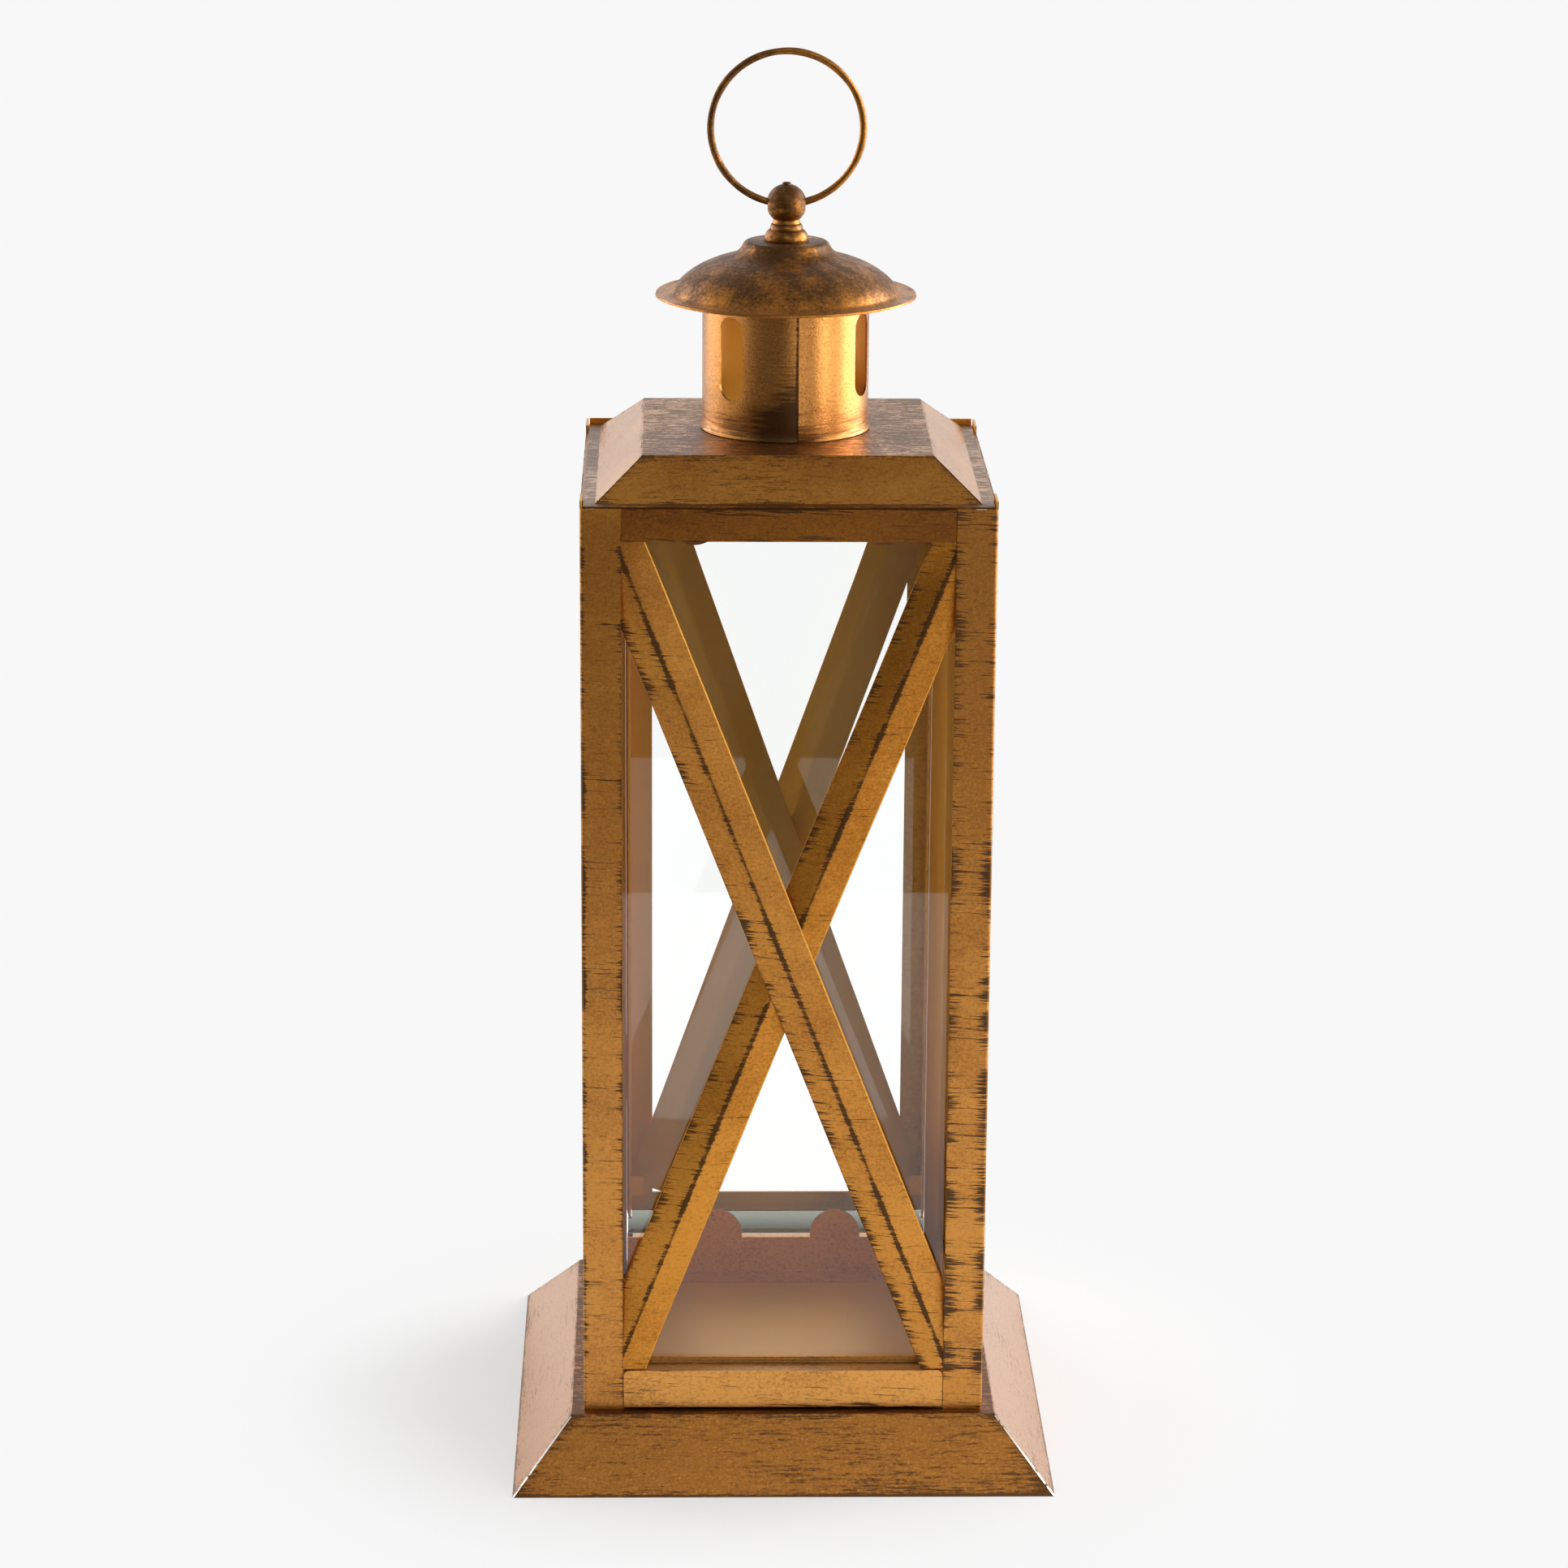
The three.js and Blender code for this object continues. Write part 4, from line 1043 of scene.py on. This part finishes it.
bell = [(FOOT_RADIUS - inset, CAP_TOP + rise) for inset, rise in (
    (0.05, 0), (0, 0.9), (0.1, 1.7), (0.4, 2.5), (0.9, 3.3), (1.4, 3.8), (1.75, 4.05),
    (2.05, 4.2), (2.05, 4.5), (2.1, 4.9), (2.3, 5.5),
)]
bell_end = [(FOOT_RADIUS - 2.65, FOOT_TOP), (BORE, FOOT_TOP)]
foot_profile = [(BORE, CAP_TOP)] + bell + bell_end
bell_finish, start, at, (_, _, z) = new_paint("bell_gold")
mottle = at.stretched(0.3, 0.3, 0.5).noise(1.0, 4.0, 0.65)
waist = abs(z - WAIST).step(0.1, 0.6, 0.7, 0.0)
brow = (FOOT_TOP - z).step(0.0, 0.9, 1.0, 0.0)
foot = (z - CAP_TOP).step(0.1, 0.9, 1.0, 0.0)
grooves = waist.high(brow).high(foot) * 0.4
dark = ((mottle - 0.5) * 1.8 + grooves + 0.42).step(0.0, 0.8) * 0.88
paint(start, dark, tone=0.4, roughness=0.3, dents=0.1, fleck=0.7, coat=0.35)
stand_for(
    as_piece("turned_foot", swept(foot_profile, 96), bell_finish, 50),
    "finial_foot", "lantern",
)

# %% [markdown]
# The ball
#
# The ring passes through a hole in the ball, which widens outwards because the ring
# curves. It is cut with a boolean, and the result is kept as plain mesh.

# %% Turn the ball
BALL_CENTRE = 469.0
BALL_RADIUS = 7.4
NECK_RADIUS = 5.3
NECK_TOP = 463.3
NUB_RADIUS = 1.7
STUD_RADIUS = 2.0
STUD_LOW = 450.1
STUD_TOP = 462.0
RING_RADIUS = 27.95
WIRE_RADIUS = 1.4
HOLE_HALF = 8.4
HOLE_PLAY = 0.4


def without(piece, cutters):
    """Cuts other meshes out of a piece and keeps the result as its own mesh."""
    for cutter in cutters:
        cut = piece.modifiers.new("cut", "BOOLEAN")
        cut.operation = "DIFFERENCE"
        cut.object = cutter
        cut.solver = "EXACT"
    graph = bpy.context.evaluated_depsgraph_get()
    mesh = bpy.data.meshes.new_from_object(piece.evaluated_get(graph))
    piece.modifiers.clear()
    piece.data = mesh
    for cutter in cutters:
        bpy.data.objects.remove(cutter)
    mesh.polygons.foreach_set("use_smooth", [True] * len(mesh.polygons))
    mesh.set_sharp_from_angle(angle=math.radians(35))


finial_finish, start, at, (_, _, z) = new_paint("finial_gold")
mottle = at.stretched(0.35, 0.35, 0.5).noise(1.0, 4.0, 0.65)
crown = z.step(BALL_CENTRE - 4, BALL_CENTRE + 6) * 0.35
dark = ((mottle - 0.5) * 1.8 + crown + 0.34).step(0.0, 0.7) * 0.88
paint(start, dark, tone=0.45, roughness=0.32, dents=0.1, fleck=0.7, coat=0.35)

neck_angle = math.asin((NECK_TOP - BALL_CENTRE) / BALL_RADIUS)
nub_angle = math.acos(NUB_RADIUS / BALL_RADIUS)
ball_profile = [(0, STUD_LOW), (STUD_RADIUS, STUD_LOW)]
ball_profile += [(STUD_RADIUS, STUD_TOP), (NECK_RADIUS, STUD_TOP)]
for i in range(37):
    angle = neck_angle + (nub_angle - neck_angle) * i / 36
    ball_profile.append((
        BALL_RADIUS * math.cos(angle),
        BALL_CENTRE + BALL_RADIUS * math.sin(angle),
    ))
nub_foot = BALL_CENTRE + BALL_RADIUS * math.sin(nub_angle)
ball_profile += [(1.6, nub_foot + 0.5), (1.2, nub_foot + 0.8), (0.6, nub_foot + 0.9)]
ball_profile += [(0, nub_foot + 0.9)]

hole_profile = [(0, -HOLE_HALF)]
for i in range(17):
    along = -HOLE_HALF + 2 * HOLE_HALF * i / 16
    sag = RING_RADIUS - math.sqrt(RING_RADIUS**2 - along**2)
    hole_profile.append((WIRE_RADIUS + HOLE_PLAY + sag, along))
hole_profile += [(0, HOLE_HALF)]
hole = swept(hole_profile, 48)
level_turn = Matrix.Rotation(math.pi / 2, 4, "Y")
hole.transform(Matrix.Translation((0, 0, BALL_CENTRE)) @ level_turn)
ball = as_piece("turned_ball", swept(ball_profile, 96), finial_finish, 50)
without(ball, [as_piece("hole", hole, finial_finish)])
stand_for(ball, "finial_ball", "lantern")

# %% [markdown]
# The carrying ring
#
# The ring is a round wire bent into a circle. Its section is moved in and out by a few
# hundredths of a millimetre, as in wire that was bent by hand, and most of its gold
# has rubbed off. Towards its right side it has less brown, as painted light where the
# lamps on the right fall on it.

# %% Bend the ring
ring_finish, start, at, (x, _, _) = new_paint("ring_patina")
mottle = at.noise(0.16, 5.0, 0.65)
# Painted light: less brown towards +X, where the lamps on the right fall.
less_brown = x.step(-24.0, 26.0) * 0.35
fine = at.noise(0.5, 4.0, 0.65)
dark = ((mottle - 0.5) * 1.5 + (fine - 0.5) * 0.4 - less_brown + 0.62).step(0.0, 0.8) * 0.9
paint(start, dark, tone=0.35, roughness=0.34, dents=0.1, fleck=0.4, coat=0.4)


def bent_ring(turns=240, sides=20):
    """A ring of wire whose section is never thicker than the solid's."""
    made = bmesh.new()
    rings = []
    centre = BALL_CENTRE + RING_RADIUS
    for i in range(turns):
        around = 2 * math.pi * i / turns
        uneven = 0.05 * math.sin(5 * around + 0.6) + 0.04 * math.sin(11 * around)
        wire = WIRE_RADIUS + uneven - 0.09
        ring = []
        for j in range(sides):
            turn = 2 * math.pi * j / sides
            radius = RING_RADIUS + wire * math.cos(turn)
            ring.append(made.verts.new((
                radius * math.sin(around),
                wire * math.sin(turn),
                centre - radius * math.cos(around),
            )))
        rings.append(ring)
    for i in range(turns):
        k = (i + 1) % turns
        for j in range(sides):
            m = (j + 1) % sides
            made.faces.new([rings[i][j], rings[k][j], rings[k][m], rings[i][m]])
    return made


stand_for(
    as_piece("bent_ring", bent_ring(), ring_finish),
    "ring_handle", "ring",
)

# %% [markdown]
# The chimney's paint
#
# The tube is the brightest paint on the lantern, brushed level all round. The brown is
# thicker towards the foot, and it gathered to the left of the lap, where the brush ran
# against the edge of the sheet.

# %% Paint the chimney
CHIMNEY_RADIUS = 30.8
ROOF_TOP = 386.0
SEAM_X = 4.1
CHIMNEY_GOLD = (0.860, 0.350, 0.070)
SLOT_RADIUS = 5.65
SLOT_LOW = 400.0
SLOT_HEIGHT = 31.0

chimney_finish, start, at, (x, y, z) = new_paint("chimney_gold")
radius = from_axis(x, y)
outside = radius.step(30.3, 30.5)
streak = at.stretched(0.07, 0.07, 1.1).noise(1.0, 5.0, 0.68)
low = (z - ROOF_TOP).step(1.0, 18.0, 1.0, 0.0)
front = y.step(0.0, -12.0)
by_seam = (SEAM_X - x).step(0.0, 0.6) * (SEAM_X - x).step(2.0, 22.0, 1.0, 0.0) * front
by_seam = by_seam * (z - ROOF_TOP).step(8.0, 40.0, 1.0, 0.2)
line = abs(x - SEAM_X + 0.5).step(0.1, 0.8, 0.5, 0.0) * front
level = (streak - 0.5) * 1.7 + low * 0.5 + by_seam * 0.8 + line - 0.2
dark = level.step(0.0, 0.6) * outside
# Painted light: the inner wall, seen through the slots, is mixed lighter through inside.
paint(
    start, dark * 0.9, tone=-0.2, roughness=0.26, dents=0.2, gold=CHIMNEY_GOLD,
    inside=1 - outside, fleck=0.8, coat=0.6,
)
print(f"{chimney_finish.name} mixed")

# %% [markdown]
# The chimney
#
# A strip of sheet is rolled into a tube, its outer end lapped over the inner one. The
# lap leaves a sharp step down the front, to the right of the middle. The foot is rolled
# out a little where it stands on the roof.

# %% Roll the chimney
CHIMNEY_LOW = 383.6
LAP_AZIMUTH = 7.5
LAP_SPAN = 50.0
FLARE = 0.7


def rolled_tube(high):
    """The tube's wall, whose outer face steps out at the lap and runs back in."""
    made = bmesh.new()
    turns = [LAP_AZIMUTH - 0.15] + [LAP_AZIMUTH + 360 * i / 180 for i in range(180)]
    lifts = [0.3, 0.3, 0.9, 1.8, 2.8, 4.2]
    flares = [0.0, 0.0, 1.0, 0.72, 0.4, 0.12, 0.0]
    heights = [CHIMNEY_LOW] + [ROOF_TOP + lift for lift in lifts]
    spans = 16
    straight = high - ROOF_TOP - lifts[-1]
    for i in range(1, spans + 1):
        heights.append(ROOF_TOP + lifts[-1] + straight * i / spans)
        flares.append(0.0)
    outer = []
    inner = []
    for turn in turns:
        beyond = (turn - LAP_AZIMUTH) / LAP_SPAN
        proud = SHEET * (1 - beyond) if 0 <= beyond <= 1 else 0.0
        angle = math.radians(turn)
        way = (math.sin(angle), -math.cos(angle))
        column = []
        for height, flare in zip(heights, flares):
            radius = CHIMNEY_RADIUS + FLARE * flare
            if height > ROOF_TOP + 0.2:
                radius = max(radius, CHIMNEY_RADIUS + proud)
            column.append(made.verts.new((way[0] * radius, way[1] * radius, height)))
        outer.append(column)
        inside = CHIMNEY_RADIUS - SHEET
        inner.append([
            made.verts.new((way[0] * inside, way[1] * inside, height))
            for height in (CHIMNEY_LOW, high)
        ])
    count = len(turns)
    for i in range(count):
        j = (i + 1) % count
        for k in range(len(heights) - 1):
            made.faces.new([outer[i][k], outer[j][k], outer[j][k + 1], outer[i][k + 1]])
        made.faces.new([inner[j][0], inner[i][0], inner[i][1], inner[j][1]])
        made.faces.new([inner[i][0], inner[j][0], outer[j][0], outer[i][0]])
        made.faces.new([outer[i][-1], outer[j][-1], inner[j][1], inner[i][1]])
    return made


print("ready to roll")

# %% [markdown]
# The vent slots
#
# A punch cuts the round-ended slots through the flat sheet before it is rolled. Here
# the tube is rolled first, and a block with the slot's outline is cut out of its wall
# at three places.

# %% Punch the slots
SLOT_AZIMUTHS = [-42, 65, 191.5]


def slot_cutter(azimuth):
    """A block that reaches through one wall of the tube."""
    made = bmesh.new()
    outline = []
    upper_middle = SLOT_LOW + SLOT_HEIGHT - SLOT_RADIUS
    lower_middle = SLOT_LOW + SLOT_RADIUS
    for middle, begin in ((upper_middle, 0.0), (lower_middle, math.pi)):
        for i in range(25):
            angle = begin + math.pi * i / 24
            outline.append((
                SLOT_RADIUS * math.cos(angle),
                middle + SLOT_RADIUS * math.sin(angle),
            ))
    near = [made.verts.new((x, -CHIMNEY_RADIUS * 1.3, z)) for x, z in outline]
    far = [made.verts.new((x, -CHIMNEY_RADIUS * 0.5, z)) for x, z in outline]
    made.faces.new(near)
    made.faces.new(far[::-1])
    bridge(made, far, near)
    made.transform(Matrix.Rotation(math.radians(azimuth), 4, "Z"))
    return as_piece("slot", made, chimney_finish)


tube_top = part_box("chimney_tube")[1].z / MM
tube = as_piece("rolled_chimney", rolled_tube(tube_top), chimney_finish, 35)
without(tube, [slot_cutter(azimuth) for azimuth in SLOT_AZIMUTHS])
stand_for(tube, "chimney_tube", "lantern")

# %% [markdown]
# Small metal and the floor plate
#
# Hinges, the turn button, the rivet and the pins are dipped in the same dark paint.
# The floor plate got the paint but no brown, so it is even and dull, and its gold is
# mixed lighter, as painted light for the light that reaches the inside of the lantern.
# The washer and the nut under the cap are plain plated steel.

# %% Finish the small metal
hinge_finish, start, at, _ = new_paint("hinge_patina")
dark = at.stretched(0.3, 0.3, 0.3).noise(1.0, 4.0, 0.65).step(0.45, 0.7) * 0.7
paint(start, dark, tone=0.5, roughness=0.38, dents=0.1)
dress(
    [
        f"{level}_hinge_{part}"
        for level in ("lower", "upper")
        for part in ("post_leaf", "door_leaf", "pin")
    ] + ["turn_button", "turn_button_rivet"],
    hinge_finish, edges=0.08,
)

plate_finish, start, at, _ = new_paint("floor_plate_gold")
dark = at.noise(0.03, 4.0, 0.6).step(0.5, 0.8) * 0.2
# Painted light: inside=0.8 mixes the floor plate's gold lighter.
paint(start, dark, tone=-0.1, roughness=0.32, dents=0.1, inside=0.8)
dress(["floor_plate"], plate_finish)

steel_finish, start, at, _ = new_paint("plated_steel")
grain = at.noise(2.0, 3.0)
steel = colour_between(start, (0.50, 0.49, 0.47), (0.36, 0.35, 0.33), grain)
finish_with(start.tree, start.node("BsdfPrincipled", None, {
    "Base Color": steel,
    "Metallic": 1.0,
    "Roughness": 0.3 + grain * 0.2,
}))
dress(["cap_washer", "cap_nut"], steel_finish)

# %% [markdown]
# Glass
#
# The panes are 2 mm float glass. Their faces reflect the white room, which veils what
# lies behind, and their cut edges look green because light travels a long way inside
# the sheet before it leaves there. Through the front, below the door's frame, the foot
# of the door's pane carries a painted shadow: a grey-green strip, darker towards the
# bottom, that stands for the floor behind the lantern lying in its shadow. That strip is
# a tint of the glass here, and the pane is wider there, so that it runs from post to post.

# %% Glaze the lantern
GLASS_TINT = (0.995, 1.0, 0.997)
SHADED_FLOOR_DARK = (0.085, 0.09, 0.072)
SHADED_FLOOR_LIGHT = (0.28, 0.295, 0.255)
STRIP_TOP = 51.0
PANE_SHOULDER = (47.5, 47.6)
PANE_LIP = 1.5


def glaze(name, strip_top=None):
    """Float glass. Below the height strip_top it carries a painted shadow: the grey-green of
    the shaded floor behind it, darker towards the bottom.
    """
    finish, start = new_shader(name)
    tint = colour(GLASS_TINT)
    if strip_top:
        z = millimetres(start).parts()[2]
        # Painted shadow: the tint runs from the dark grey-green at the bottom to the lighter
        # one.
        rise = z.step(strip_top - 9.0, strip_top - 1.0)
        strip = colour_between(start, SHADED_FLOOR_DARK, SHADED_FLOOR_LIGHT, rise)
        tint = strip.blend(tint, z.step(strip_top - 0.3, strip_top))
    clear = start.node("BsdfPrincipled", None, {
        "Base Color": tint,
        "Roughness": 0.0,
        "IOR": 1.5,
        "Transmission Weight": 1.0,
    })
    green = start.node("VolumeAbsorption", None, {
        "Color": (0.25, 0.62, 0.45, 1.0),
        "Density": 6.0,
    })
    out = finish_with(start.tree, clear)
    start.tree.links.new(green.socket, out.inputs["Volume"])
    return finish


def below_shoulder(at):
    return at.z < sum(PANE_SHOULDER) / 2


dress(["front_pane", "right_pane", "left_pane"], glaze("float_glass"), edges=0.05)
door_glass = glaze("door_glass", STRIP_TOP)
widened(
    "door_pane", below_shoulder, PANE_LIP, door_glass,
    cuts=PANE_SHOULDER, edges=0.05,
)
